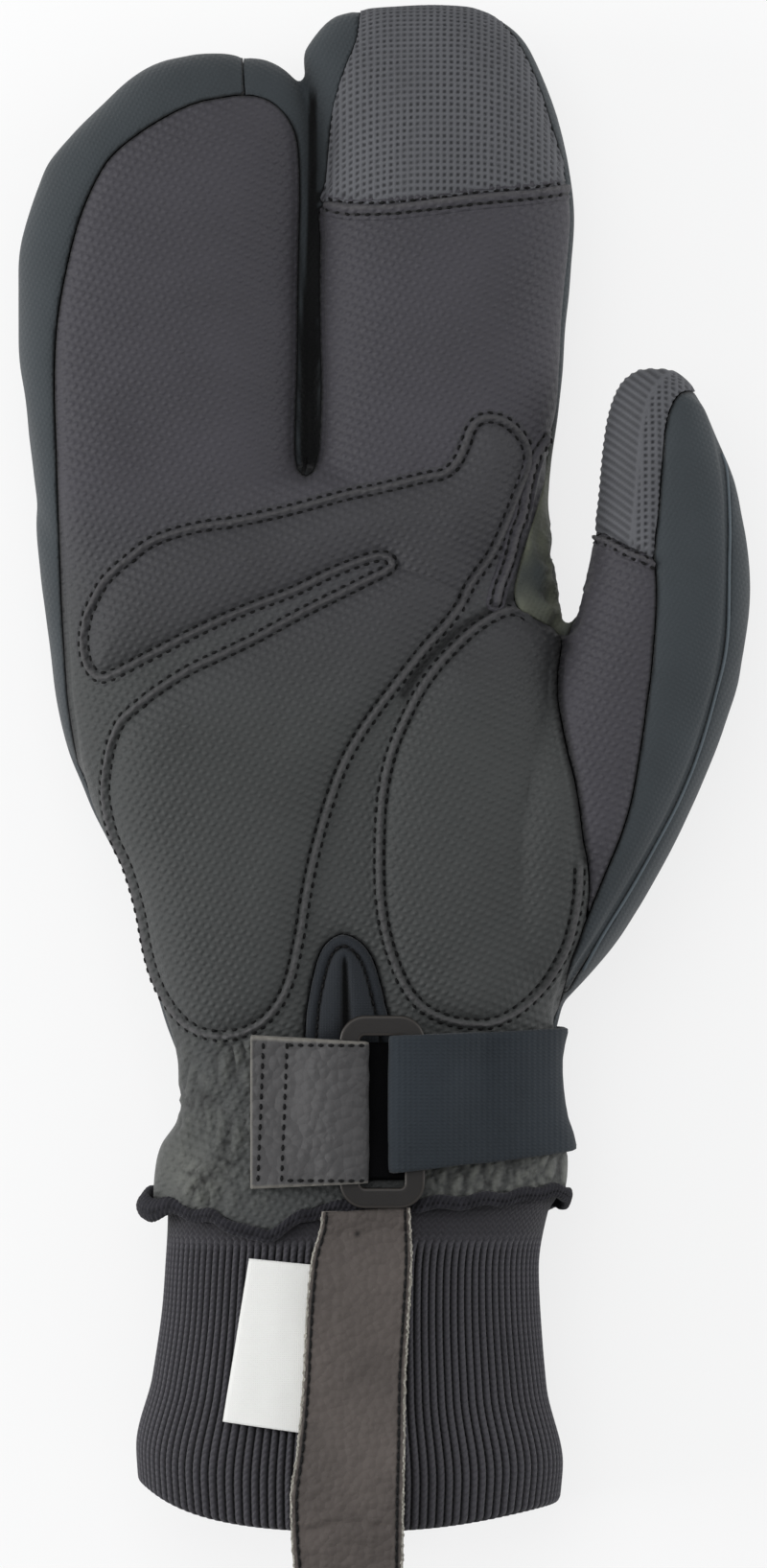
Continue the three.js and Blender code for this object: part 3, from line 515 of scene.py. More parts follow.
bindingLine = [
    (-46.0, -2.2), (-39.2, -2.2), (-35.4, -2.1), (-30.8, -3.8), (-27.0, -4.1), (-23.4, -5.8), (-19.9, -7.3),
    (-16.3, -7.5), (-13.9, -6.2), (-10.3, -3.9), (-5.6, -2.2), (1.9, -1.9), (11.2, -1.5), (18.8, -1.1), (28.1, -0.4),
    (32.6, 0.0), (35.6, 0.6), (38.1, 0.8), (46.0, -0.9),
]
panels = [  # name, outline, lowest height, in the order of cutting
    ("wrist_gusset", archLine, 26.0), ("palm_panel", palmLine, 26.0), ("fingertip_patch", tipLine, 26.0),
    ("thumb_patch", thumbTipLine, 29.0), ("thumb_palm_panel", thumbPalmLine, 29.0),
    ("thumb_side_panel", thumbSideLine, 29.0), ("slit_gusset", slitLine, 9.0),
]
outlines = {name: smoothLine(line, 1.5) for name, line, _ in panels}
floors = {name: floor for name, _, floor in panels}


def panelField(name, points):
    floor = floors[name]
    if name == "palm_panel":  # the leather reaches further round the wrist
        floor = floor - 6.0 * ease(-points[:, 1], -32, -20)
    return np.maximum(outlineDistance(points, outlines[name]), floor - points[:, 2])


def hemLine(points):
    front = np.interp(points[:, 0], [p[0] for p in bindingLine], [p[1] for p in bindingLine])
    back = -1.5 + 0.8 * np.sin(points[:, 0] / 7.0)
    return back + (front - back) * ease(points[:, 2], 18, 30)


def seamDistance(points):
    near = np.full(len(points), 9.0)
    covered = np.zeros(len(points), bool)
    for name, _, _ in panels:
        field = panelField(name, points)
        near = np.where(covered, near, np.minimum(near, np.abs(field)))
        covered |= field < 0
    return near


# Heights and depths of the folds, and the pitches of the two sizes of gather.
folds = {
    "gather": 1.7, "gatherPitch": 3.4, "crinkle": 0.9, "crinklePitch": 2.4, "drape": 0.585, "backGather": 0.6,
    "crumple": 1.6, "seamDepth": 0.75, "seamWidth": 0.8, "broadDepth": 0.4, "broadWidth": 2.6, "markWidth": 0.55,
    "uneven": 0.45, "dimple": 0.14, "channel": 1.0, "slot": 0.6, "creaseWidth": 1.3,
}
thumbSeamLine = smoothLine([
    (40.1, 107.5), (39.4, 99.0), (40.3, 90.9), (42.8, 79.7), (44.4, 68.4), (45.0, 64.3),
], 1.0, closed=False)
slotCrease = smoothLine([(9.0, 121.0), (13.5, 119.6), (18.0, 117.2), (21.5, 114.4)], 1.0, closed=False)
channelLine = smoothLine([
    (33.0, 117.5), (29.0, 114.4), (22.8, 111.0), (17.8, 107.0), (13.0, 101.8), (9.6, 96.5),
], 1.0, closed=False)


# Puffed diamonds between two families of slanting creases: 0 in a crease, 1 between them.
def puckers(points, pitch):
    x, y, z = points.T
    warp = 3.6 * softNoise(points, (5, 7, 7), 3)
    one = np.abs(np.sin(np.pi * (x + 0.28 * y + warp) / pitch))
    two = np.abs(np.sin(np.pi * (x - 0.8 * y - 1.4 * warp) / (1.7 * pitch)))
    return np.minimum(one, two) ** 0.7


# Where the gathers lie beside the strap's tab, and where they lie below the elastic.
def puckerShare(points):
    x, y, z = points.T
    patchy = 0.6 + 0.9 * softNoise(points, (6, 9, 9), 4)
    beside = ease(x, -37, -30) * ease(-x, 15, 19) * ease(y, -6, 0) * ease(-y, -36, -26) * patchy
    below = ease(x, 7, 12) * ease(-y, -11, -7)
    return beside * ease(z, 16, 26), below * ease(z, 16, 26)


# Painted light: on the back shell a lit patch in the nook between thumb and fingers; on the palm, painted highlights on
# the crests of the gathers and a lit patch at the wrist's lower left.
def paintedLightMark(name, points):
    x, y, z = points.T
    if name == "back_shell":
        nook = ease(x, 29, 33) * ease(-x, -44, -41) * ease(y, 106, 112) * ease(-y, -152, -135) * ease(z, 12, 18)
        return nook * (0.75 + 0.7 * softNoise(points, (3, 8, 5), 12))
    beside, below = puckerShare(points)
    litPatch = np.exp(-((x + 34) ** 2 / 50 + (y - 4) ** 2 / 70)) * ease(z, 14, 22)
    lit = 0.3 * beside * puckers(points, folds["gatherPitch"]) ** 2
    lit += 0.5 * below * puckers(points, folds["crinklePitch"]) ** 2
    return np.clip(lit + 0.3 * litPatch, 0, 1)


# Painted shade in the valleys of the gathers beside the tab and of the crinkles below the elastic.
def gatherShadeMark(points):
    beside, below = puckerShare(points)
    gathers, crinkles = 1 - puckers(points, folds["gatherPitch"]), 1 - puckers(points, folds["crinklePitch"])
    return np.clip(beside * gathers**2 + 0.7 * below * crinkles**2, 0, 1)


def creaseAlong(points, line, width):
    return np.exp(-((outlineDistance(points, line, closed=False) / width) ** 2))


def foldSkin(points):
    x, y, z = points.T
    front = ease(z, 14, 26)
    height = folds["uneven"] * softNoise(points, 26, 1) + folds["dimple"] * softNoise(points, 7, 2)
    beside, below = puckerShare(points)
    height += folds["gather"] * (puckers(points, folds["gatherPitch"]) - 0.6) * beside
    height += folds["crinkle"] * (puckers(points, folds["crinklePitch"]) - 0.6) * below
    # loose slanting folds towards the little finger's side, and gathers round the back
    band = ease(y, -8, 0) * ease(-y, -34, -24)
    slant = np.sin(0.55 * (x - 0.75 * y) + 1.2 * softNoise(points, 14, 6))
    height += folds["drape"] * slant * band * ease(-x, 22, 30) * ease(-y, -30, -16) * ease(z, 24, 34)
    arc = np.arctan2(z - 23, x - 2) * 30
    back = np.abs(np.sin(np.pi * (arc + 2.2 * softNoise(points, (8, 11, 10), 7)) / 4.4)) - 0.6
    height += folds["backGather"] * back * band * (1 - front)
    # the crumpled nook between thumb and fingers
    nook = np.exp(-((x - 38) ** 2 / 40 + (y - 117) ** 2 / 130))
    turned = np.stack([x + y, y - x, z], 1)
    height += folds["crumple"] * nook * (0.5 - 2 * np.abs(softNoise(turned, (3.2, 7, 5), 5)))
    height -= folds["channel"] * creaseAlong(points, channelLine, folds["creaseWidth"]) * front
    height -= folds["slot"] * creaseAlong(points, slotCrease, folds["creaseWidth"]) * front
    return height


verts = list(skin.verts)
points = coords(verts)
normals = np.array([v.normal for v in verts])
lift = foldSkin(points)
nearest = seamDistance(points)
shallow = 1 - 0.7 * ease(points[:, 1], 206, 212)
lift -= folds["seamDepth"] * shallow * np.exp(-((nearest / folds["seamWidth"]) ** 2))
lift -= folds["broadDepth"] * np.exp(-((nearest / folds["broadWidth"]) ** 2))
points += normals * lift[:, None]
points[:, 2] = np.maximum(points[:, 2], 0.0)
moveVerts(verts, points)
skin.normal_update()
print("folds and seams pressed in")


def cutAlong(bm, fieldOf, allowed=None):
    bm.verts.ensure_lookup_table()
    bm.verts.index_update()
    value = fieldOf(coords(bm.verts))
    layer = bm.verts.layers.float.get("field") or bm.verts.layers.float.new("field")
    edges = [e for e in bm.edges if allowed is None or any(allowed(f) for f in e.link_faces)]
    ends = np.array([(e.verts[0].index, e.verts[1].index) for e in edges])
    crossing = np.where(value[ends[:, 0]] * value[ends[:, 1]] < 0)[0]
    nudges = {}
    for k in crossing:
        a, b = edges[k].verts
        t = value[a.index] / (value[a.index] - value[b.index])
        vert, other, share = (a, b, t) if t < 0.5 else (b, a, 1 - t)
        if share < 0.3 and share < nudges.get(vert, (None, 1))[1]:
            nudges[vert] = (vert.co.lerp(other.co, share), share)
    for vert, (spot, _) in nudges.items():
        vert.co = spot
        value[vert.index] = 0
    for vert in bm.verts:
        vert[layer] = value[vert.index]
    onLine = list(nudges)
    for k in crossing:
        a, b = edges[k].verts
        if a[layer] * b[layer] < 0:
            _, vert = bmesh.utils.edge_split(edges[k], a, a[layer] / (a[layer] - b[layer]))
            vert[layer] = 0
            onLine.append(vert)
    bmesh.ops.connect_verts(bm, verts=onLine)
    return layer


def faceSide(face, layer):
    return sum(v[layer] for v in face.verts) / len(face.verts)


def keepFaces(bm, keep):
    bmesh.ops.delete(bm, geom=[f for f in bm.faces if not keep(f)], context="FACES")
    left = set(bm.faces)
    islands = []
    while left:
        stack = [left.pop()]
        island = set(stack)
        while stack:
            for edge in stack.pop().edges:
                for face in edge.link_faces:
                    if face in left:
                        left.remove(face)
                        island.add(face)
                        stack.append(face)
        islands.append(island)
    islands.sort(key=len)
    stray = [f for island in islands[:-1] for f in island]
    if stray:
        bmesh.ops.delete(bm, geom=stray, context="FACES")
    return bm


def insetEdge(bm, amount):
    moves = []
    for vert in bm.verts:
        if vert.is_boundary:
            inner = [f.calc_center_median() for f in vert.link_faces]
            way = sum(inner, Vector()) / len(inner) - vert.co
            if way.length > 1e-6:
                moves.append((vert, way.normalized() * amount))
    for vert, way in moves:
        vert.co += way


# The wavy hem at the wrist opens the skin, then the panels are cut in turn.
layer = cutAlong(skin, lambda p: hemLine(p) - p[:, 1])
bmesh.ops.delete(skin, geom=[f for f in skin.faces if faceSide(f, layer) > 0], context="FACES")
whole = skin.copy()
owner = skin.faces.layers.int.new("panel")
for index, (name, _, _) in enumerate(panels, 1):
    layer = cutAlong(skin, lambda p: panelField(name, p), lambda f: f[owner] == 0)
    for face in skin.faces:
        if face[owner] == 0 and faceSide(face, layer) < 0:
            face[owner] = index
print("panels cut")
skinTree = BVHTree.FromBMesh(whole)


def seamMark(points):
    return np.exp(-((seamDistance(points) / folds["markWidth"]) ** 2))


# Painted shade along the crease above the thenar pad and along the slot crease; along the deep seam of the thumb, a
# dark seam line widened by painted shade.
def creaseShadeMark(points):
    lines = (channelLine, 1.2, 0.9), (thumbSeamLine, 1.45, 1.0), (slotCrease, 1.0, 0.3)
    return np.max([share * creaseAlong(points, line, width) for line, width, share in lines], axis=0)


# Painted shade deep in the open gap between the two finger pockets, and on the inner pocket's side beside it.
def slitShadeMark(points, mark):
    x, y, z = points.T
    reach = 1.8 - ease(y, 160, 205)
    side = x + 8.8 - 0.6 * ease(y, 165, 185)
    gap = ease(reach - np.abs(side), -0.6, 0.3) * ease(-y, -218, -212)
    gap = np.maximum(gap, 0.5 * ease(side, 0, 1) * ease(-y, -216, -200))
    return np.maximum(mark * (1 - 0.6 * ease(y, 206, 212)), ease(-z, -38.5, -36.5) * gap)


def panelPiece(name, index, material):
    bm = skin.copy()
    own = bm.faces.layers.int["panel"]
    keepFaces(bm, lambda f: f[own] == index)
    insetEdge(bm, 0.12)
    points = coords(bm.verts)
    mark = seamMark(points)
    if name == "slit_gusset":
        mark = slitShadeMark(points, mark)
    if name in ("palm_panel", "thumb_palm_panel"):
        mark = np.maximum(mark, creaseShadeMark(points))
    marks = {"seam": mark, "olive": ease(-points[:, 1], -145, -95) * (name == "palm_panel")}
    # Painted light and painted shade on the palm panel and the back shell.
    if name in ("palm_panel", "back_shell"):
        marks["worn"] = paintedLightMark(name, points)
        marks["valley"] = gatherShadeMark(points)
    setMarks(bm, marks)
    return makePiece(bm, name, material, [name], hand["wall"])


finishes = {
    "palm_panel": ("leather", "leather"), "thumb_palm_panel": ("leather", "leather"),
    "thumb_side_panel": ("softshell", "softshell"), "slit_gusset": ("stretch", "softshell"),
}
for index, (name, _, _) in enumerate(panels, 1):
    if name in finishes:
        slot, look = finishes[name]
        panelPiece(name, index, materials[look])
panelPiece("back_shell", 0, materials["softshell"])
print("panels made")


lining = grownTogether(handForm(-hand["lining"]), hand["liningVoxel"], 2)
layer = cutAlong(lining, lambda p: hand["liningStart"] - p[:, 1])
bmesh.ops.delete(lining, geom=[f for f in lining.faces if faceSide(f, layer) > 0], context="FACES")
makePiece(lining, "lining", materials["lining"], wall=hand["liningWall"])
print("lining made")


# Patches and pads are finer copies of the skin inside their outlines, closed underneath.
def raised(name, fieldOf, heightOf, cuts, bed, material, marksOf):
    bm = whole.copy()
    field = fieldOf(coords(bm.verts))
    inside = {v for v, amount in zip(bm.verts, field) if amount < 3}
    keepFaces(bm, lambda f: any(v in inside for v in f.verts))
    bmesh.ops.subdivide_edges(bm, edges=bm.edges, cuts=cuts, use_grid_fill=True)
    bmesh.ops.smooth_vert(bm, verts=bm.verts, factor=0.5, use_axis_x=True, use_axis_y=True, use_axis_z=True)
    layer = cutAlong(bm, fieldOf)
    keepFaces(bm, lambda f: faceSide(f, layer) < 0)
    bm.normal_update()
    ident = bm.verts.layers.int.new("ident")
    marks = [bm.verts.layers.float.new(key) for key, _ in marksOf]
    lower = list(bm.verts)
    base = coords(lower)
    normals = np.array([v.normal for v in lower])
    for index, vert in enumerate(lower):
        vert[ident] = index
    made = bmesh.ops.extrude_face_region(bm, geom=list(bm.faces), use_keep_orig=True)["geom"]
    upper = [g for g in made if isinstance(g, bmesh.types.BMVert)]
    order = [v[ident] for v in upper]
    moveVerts(upper, (base + normals * heightOf(base)[:, None])[order])
    moveVerts(lower, base + normals * bed)
    for mark, (_, valueOf) in zip(marks, marksOf):
        for vert, amount in zip(upper, valueOf(base)[order]):
            vert[mark] = float(amount)
    settle(bm)
    tree = BVHTree.FromBMesh(bm)
    piece = makePiece(bm, name, material, [name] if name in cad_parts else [])
    return tree


grid = {"pitch": 1.3, "depth": 0.3, "rise": 0.3, "ribPitch": 1.4, "strip": 4.4}


def latticePit(points):
    x, y, z = points.T
    one = np.abs(np.sin(np.pi * x / grid["pitch"]))
    two = np.abs(np.sin(np.pi * (y - 0.8 * z) / grid["pitch"]))
    return ease(np.minimum(one, two), 0.45, 0.95)


# The thumb's patch has a strip of slanting ribs along its outer edge, behind a fine line.
def thumbPit(points):
    x, y, z = points.T
    inwards = outlineDistance(points, outlines["thumb_side_panel"]) - grid["strip"]
    strip = ease(inwards, -0.2, 0.2)
    ribs = ease(np.abs(np.sin(np.pi * (x * 0.6 + y * 0.8) / grid["ribPitch"])), 0.35, 0.95) * 0.65
    line = np.exp(-((inwards / 0.35) ** 2))
    return np.clip(ribs * strip + latticePit(points) * (1 - strip) - line, 0, 1)


for name, pitOf in (("fingertip_patch", latticePit), ("thumb_patch", thumbPit)):
    raised(
        name, lambda p: panelField(name, p) + 0.12, lambda p: grid["rise"] - grid["depth"] * pitOf(p), 2, -0.7,
        materials["grip"], [("pit", pitOf)],
    )
print("patches made")

pads = {"skirt": 1.9, "row": 0.95, "ridge": 0.75, "dip": 0.4, "crown": 2.1, "spread": 3.2}
padLines = {
    "palm_pad": [
        (-51.2, 113.8), (-48.4, 118.8), (-43.5, 123.2), (-38.6, 126.6), (-30.6, 129.0), (-23.1, 130.1),
        (-13.3, 132.2), (-1.1, 135.4), (3.6, 136.3), (7.9, 137.3), (14.1, 138.8), (17.6, 139.5), (20.0, 141.8),
        (21.6, 145.3), (22.5, 147.9), (24.0, 149.8), (26.2, 150.4), (28.9, 149.8), (31.3, 148.1), (33.0, 145.9),
        (33.8, 143.4), (33.6, 140.6), (32.4, 137.4), (30.9, 133.5), (29.8, 130.7), (28.1, 126.6), (26.4, 123.4),
        (24.2, 120.4), (22.3, 117.6), (20.6, 114.0), (17.8, 110.2), (14.0, 106.0), (11.4, 102.8), (8.1, 98.6),
        (2.1, 90.4), (-2.1, 83.1), (-5.2, 74.8), (-7.7, 65.9), (-9.4, 57.8), (-10.7, 49.7), (-12.8, 40.7),
        (-15.8, 35.1), (-19.9, 31.7), (-25.6, 30.2), (-31.3, 31.5), (-35.3, 35.1), (-38.6, 40.7), (-40.5, 47.2),
        (-41.8, 54.4), (-44.2, 62.8), (-46.7, 68.4), (-48.0, 73.1), (-48.6, 77.8), (-48.2, 82.5), (-47.2, 87.2),
        (-45.4, 91.3), (-42.8, 93.8), (-38.4, 97.3), (-32.1, 101.3), (-26.4, 104.0), (-19.9, 107.1),
        (-14.8, 109.9), (-9.4, 112.8), (-2.2, 116.4), (2.6, 118.8), (6.2, 120.6), (7.3, 121.9), (6.4, 123.2),
        (4.5, 123.4), (1.3, 122.5), (-4.9, 120.0), (-11.6, 116.7), (-18.7, 114.0), (-25.5, 111.2), (-32.4, 107.9),
        (-39.6, 104.2), (-45.4, 101.2), (-48.4, 99.9), (-50.2, 100.3), (-52.0, 102.6), (-52.7, 106.9),
        (-52.1, 111.4),
    ],
    "thenar_pad": [
        (28.5, 112.5), (23.8, 109.7), (19.5, 105.8), (15.9, 101.8), (12.6, 97.1), (9.4, 90.9), (6.9, 84.4),
        (5.4, 76.9), (4.9, 69.4), (4.8, 62.8), (5.1, 56.2), (6.2, 49.7), (8.1, 43.7), (10.7, 38.6), (14.6, 34.9),
        (19.7, 33.0), (25.7, 32.6), (30.0, 34.1), (33.9, 36.9), (37.5, 40.9), (40.9, 46.9), (42.6, 52.5),
        (43.5, 58.1), (43.7, 63.8), (43.3, 69.4), (42.4, 75.9), (41.1, 83.4), (39.9, 89.1), (39.0, 93.8),
        (38.6, 98.4), (38.8, 103.1), (38.8, 106.5), (37.1, 109.3), (34.1, 111.4), (31.5, 112.9),
    ],
}
padLines = {name: smoothLine(line, 1.0) for name, line in padLines.items()}


# 1 where a pad's ridge and rows show, 0 where the thumb's seam takes their place.
def seamFade(name, points):
    if name != "thenar_pad":
        return np.ones(len(points))
    return 1 - ease(points[:, 0], 28, 38) * ease(points[:, 1], 62, 66)


def ridgeHeight(d):
    rows = np.exp(-(((np.abs(d) - pads["row"]) / 0.4) ** 2))
    return pads["ridge"] * np.exp(-((d / 0.5) ** 2)) - pads["dip"] * rows


def padHeight(name, points):
    d = outlineDistance(points, padLines[name])
    crown = pads["crown"] * (1 - np.exp(-np.clip(-d - pads["row"], 0, None) / pads["spread"]))
    return 0.35 * ease(-d, -1.9, -1.3) - 0.1 + ridgeHeight(d) * seamFade(name, points) + crown


# Painted shade in the dips along a seam's two stitch rows.
def rowShade(d):
    return np.exp(-(((np.abs(d) - pads["row"]) / 0.32) ** 2))


# Painted highlight along the raised ridge between the two rows.
def ridgeHighlight(d):
    return np.exp(-((d / 0.45) ** 2))


padTrees = {}
for name, line in padLines.items():
    padTrees[name] = raised(
        name,
        lambda p: np.maximum(outlineDistance(p, line) - pads["skirt"], panelField("palm_panel", p) + 0.2),
        lambda p: padHeight(name, p), 1, -0.5, materials["leather"],
        # Marks: painted shade in the row dips and creases, a darkening towards the pads' upper end, a painted highlight
        # on the ridge, and an olive tint.
        [("groove", lambda p: rowShade(outlineDistance(p, line)) * seamFade(name, p)),
         ("seam", creaseShadeMark), ("valley", lambda p: 0.25 * ease(p[:, 1], 90, 105)),
         ("ridge", lambda p: ridgeHighlight(outlineDistance(p, line)) * seamFade(name, p)),
         ("olive", lambda p: 0.35 + 0.65 * ease(-p[:, 1], -125, -85))],
    )

# Twin-needle seams away from the pads, as narrow raised strips.
twinSeams = {  # course, how far each row lies from the middle, panels under it
    "index_seam": ([(37.6, 146.6), (35.0, 142.4), (33.5, 137.0), (32.6, 131.4), (31.4, 128.4), (30.3, 123.7),
                    (29.2, 120.2), (28.2, 117.6), (27.4, 114.4)], 0.95, ("palm_panel",)),
    "tip_seam": ([(-5.0, 192.2), (-1.0, 191.3), (6.0, 191.2), (15.6, 192.1), (22.7, 193.0), (34.7, 194.3),
                  (41.9, 195.7)], 1.15, ("palm_panel", "fingertip_patch")),
    "thumb_seam": ([(47.4, 127.0), (49.9, 125.9), (53.1, 124.0), (55.7, 122.9), (58.1, 121.7)], 0.65,
                   ("thumb_palm_panel", "thumb_patch")),
}
twinTrees = {}
for name, (course, row, under) in twinSeams.items():
    line = smoothLine(course, 0.8, closed=False)

    def across(points):
        return outlineDistance(points, line, closed=False) * pads["row"] / row

    def twinField(points):
        beyond = np.min([panelField(panel, points) for panel in under], axis=0) + 0.1
        return np.maximum(across(points) - pads["skirt"], beyond)

    twinTrees[name] = line, raised(
        name, twinField, lambda p: 0.5 * ease(-across(p), -1.9, -1.4) + ridgeHeight(across(p)), 1, -0.4,
        materials["leather"],
        # Marks: painted shade in the row dips and a painted highlight on the ridge.
        [("groove", lambda p: rowShade(across(p))), ("ridge", lambda p: ridgeHighlight(across(p)))],
    )
print("pads made")


arch = {"welt": 0.7, "groove": 0.4, "lens": 1.5, "crease": 1.9}


def archDepth(points):
    return outlineDistance(points, outlines["wrist_gusset"])


def archCrease(points):
    x, y, _ = points.T
    middle = -1.9 + (45 - y) * 0.02
    return np.exp(-(((x - middle) / (0.4 + (47 - y) * 0.055)) ** 2)) * ease(-y, -47, -44)


def archHeight(points):
    d = archDepth(points)
    lens = arch["lens"] * (1 - np.exp(-np.clip(-d - 2.2, 0, None) / 1.3))
    groove = arch["groove"] * np.exp(-(((d + 2.3) / 0.45) ** 2))
    welt = arch["welt"] * np.exp(-(((d + 1.1) / 0.7) ** 2))
    return (welt - groove + lens - arch["crease"] * archCrease(points)) * ease(points[:, 1], 25, 33)


# Painted shade in the stitched groove round the arch and in its middle crease.
def archShade(points):
    return np.maximum(np.exp(-(((archDepth(points) + 2.3) / 0.4) ** 2)), archCrease(points))


archTree = raised(
    "wrist_gusset", lambda p: panelField("wrist_gusset", p) + 0.12, archHeight, 1, -0.8,
    materials["stretch"], [("seam", archShade)],
)


# Straps and bands: a rectangle with rounded edges swept over a surface given by shares along and across it.
def boxLoop(u, width, thick, radius):
    t = (u % 1.0) * 2 * (width + thick)
    sides = [t < width, t < width + thick, t < 2 * width + thick]
    x = np.select(sides, [t - width / 2, width / 2, 1.5 * width + thick - t], -width / 2)
    z = np.select(sides, [-thick / 2, t - width - thick / 2, thick / 2], 2 * width + 1.5 * thick - t)
    reach = np.array([width / 2 - radius, thick / 2 - radius])
    core = np.clip(np.stack([x, z], 1), -reach, reach)
    way = np.stack([x, z], 1) - core
    way /= np.maximum(np.linalg.norm(way, axis=1), 1e-9)[:, None]
    return core + way * radius


def strapForm(surface, around, along, width, thick, radius, ripple=None, marks=None, capped=True):
    bm = bmesh.new()

    def shape(u, v):
        loop = boxLoop(u, width, thick, radius)
        a = loop[:, 0] / (width / 2)
        spot = surface(v, a)
        toSide = surface(v, np.clip(a + 0.02, -1, 1)) - surface(v, np.clip(a - 0.02, -1, 1))
        ahead = surface(np.clip(v + 0.004, 0, 1), a) - surface(np.clip(v - 0.004, 0, 1), a)
        normal = np.cross(ahead, toSide)
        normal /= np.maximum(np.linalg.norm(normal, axis=1), 1e-9)[:, None]
        rise = loop[:, 1] + (ripple(v, a, spot) if ripple else 0)
        return spot + normal * rise[:, None]

    bmesh.ops.create_grid(bm, x_segments=around, y_segments=along, size=1)
    flat = (coords(bm.verts)[:, :2] + 1) / 2
    spots = shape(flat[:, 0], flat[:, 1])
    moveVerts(bm.verts, spots)
    if marks:
        loop = boxLoop(flat[:, 0], width, thick, radius)
        setMarks(bm, marks(flat[:, 1], loop[:, 0] / (width / 2), loop[:, 1] / (thick / 2), spots))
    bmesh.ops.remove_doubles(bm, verts=bm.verts, dist=1e-4)
    if capped:
        bmesh.ops.holes_fill(bm, edges=[e for e in bm.edges if e.is_boundary], sides=0)
    return settle(bm)


def wristTop(x, y):
    left, right, low, high, square, _ = smoothRows(palmRows, y).T
    share = np.clip(np.abs(x - (left + right) / 2) / ((right - left) / 2), 0, 0.98)
    return (low + high) / 2 + (high - low) / 2 * (1 - share**square) ** (1 / square)


def tableSurface(lines):
    table = np.array(lines)

    def surface(v, a):
        row = (a + 1) / 2 * (table.shape[0] - 1)
        spot = v * (table.shape[1] - 1)
        i = np.clip(row.astype(int), 0, table.shape[0] - 2)
        j = np.clip(spot.astype(int), 0, table.shape[1] - 2)
        s, t = (row - i)[:, None], (spot - j)[:, None]
        return (table[i, j] * (1 - s) * (1 - t) + table[i + 1, j] * s * (1 - t)
                + table[i, j + 1] * (1 - s) * t + table[i + 1, j + 1] * s * t)

    return surface


strap = {
    "ringZ": 46.87, "elasticWidth": 27, "elasticThick": 1.8, "tabWidth": 29, "tabThick": 1.5,
    "keeperThick": 0.6, "end": -84,
}


def foldedPath(path, edge):
    line = []
    for x, z, lift in path:  # a height of None lies on the wrist, lifted
        y = edge(x)
        top = wristTop(np.array([x]), np.array([y]))[0]
        line.append((x, y, top + lift if z is None else z))
    return line


# The elastic from its tucked end, round the ring's bar and round the wrist to its sewn end.
def elasticLine(a):
    def edge(x):
        t = np.clip((x - 6.5) / 36, 0, 1)
        return 17.1 + t * 2.6 + a * (13.4 - t * 1.5)

    over = strap["ringZ"]
    path = [(24.0, None, 1.0), (17.0, None, 1.6), (12.5, 44.6, 0), (9.4, over - 2.0, 0), (7.98, over - 1.42, 0),
            (7.4, over, 0), (7.98, over + 1.42, 0), (9.4, over + 2.0, 0), (13.0, over + 1.9, 0), (17.5, 47.4, 0),
            (22.0, None, 3.7)]
    line = foldedPath(path, edge)
    for angle in np.radians(np.linspace(58, strap["end"], 24)):
        wrap = max(0.0, (math.degrees(angle) - 30) / 28) * 0.9
        x = sectionPoints(palmRows, np.array([20.0]), np.array([angle]), 1.4)[0, 0]
        y = edge(x) if angle > 0 else edge(50.0)
        point = sectionPoints(palmRows, np.array([y]), np.array([angle]), 1.4 + 1.4 * wrap)[0]
        line.append((point[0], point[1], max(point[2], 0.95)))
    return evenLine(smoothLine(line, 0.5, closed=False), 0.7)


def tabLine(a):
    def edge(x):
        return 15.6 + a * (14.9 - (x + 20) / 23 * 1.2)

    over = strap["ringZ"]
    path = [(-19.4, None, 1.1), (-8.0, None, 1.3), (-3.5, 44.7, 0), (0.35, over - 1.8, 0), (1.62, over - 1.27, 0),
            (2.15, over, 0), (1.62, over + 1.27, 0), (0.35, over + 1.8, 0), (-3.5, over + 1.7, 0), (-8.0, 47.2, 0),
            (-12.5, None, 3.1), (-20.0, None, 2.8)]
    return evenLine(smoothLine(foldedPath(path, edge), 0.4, closed=False), 0.6)


def evenTable(lineOf, stations):
    lines = [lineOf(a) for a in np.linspace(-1, 1, stations)]
    count = min(len(line) for line in lines)
    t = np.linspace(0, 1, count)
    return [np.stack([np.interp(t, np.linspace(0, 1, len(line)), line[:, i]) for i in range(3)], 1) for line in lines]


elasticBm = strapForm(
    tableSurface(evenTable(elasticLine, 9)), 64, 170, strap["elasticWidth"], strap["elasticThick"], 0.6,
    lambda v, a, p: 0.12 * softNoise(p, 7, 21),
)
makePiece(elasticBm, "strap_elastic", materials["elastic"], ["strap_elastic"])


# A dark strip on the wrist, seen through the ring.
def darkStripSurface(v, a):
    x, y = -3.0 + v * 16, 15.8 + a * 13.4
    return np.stack([x, y, wristTop(x, y) + 0.9], 1)


darkStripBm = strapForm(darkStripSurface, 40, 12, strap["elasticWidth"], strap["keeperThick"], 0.2)
makePiece(darkStripBm, "strap_keeper", materials["lining"])


def rawMark(v, a, h, spots):
    return {"raw": np.maximum(ease(np.abs(a), 0.955, 0.985), ease(v, 0.985, 0.995))}


tabBm = strapForm(
    tableSurface(evenTable(tabLine, 7)), 72, 84, strap["tabWidth"], strap["tabThick"], 0.35,
    lambda v, a, p: 0.1 * softNoise(p, (2.5, 2.5, 4), 22), rawMark,
)
tabTree = BVHTree.FromBMesh(tabBm)
makePiece(tabBm, "strap_tab", materials["tab"], ["strap_tab"])


ring = {"width": 16.6, "height": 37.4, "bar": 4.0, "thick": 1.8, "corner": 3.0, "round": 0.45}


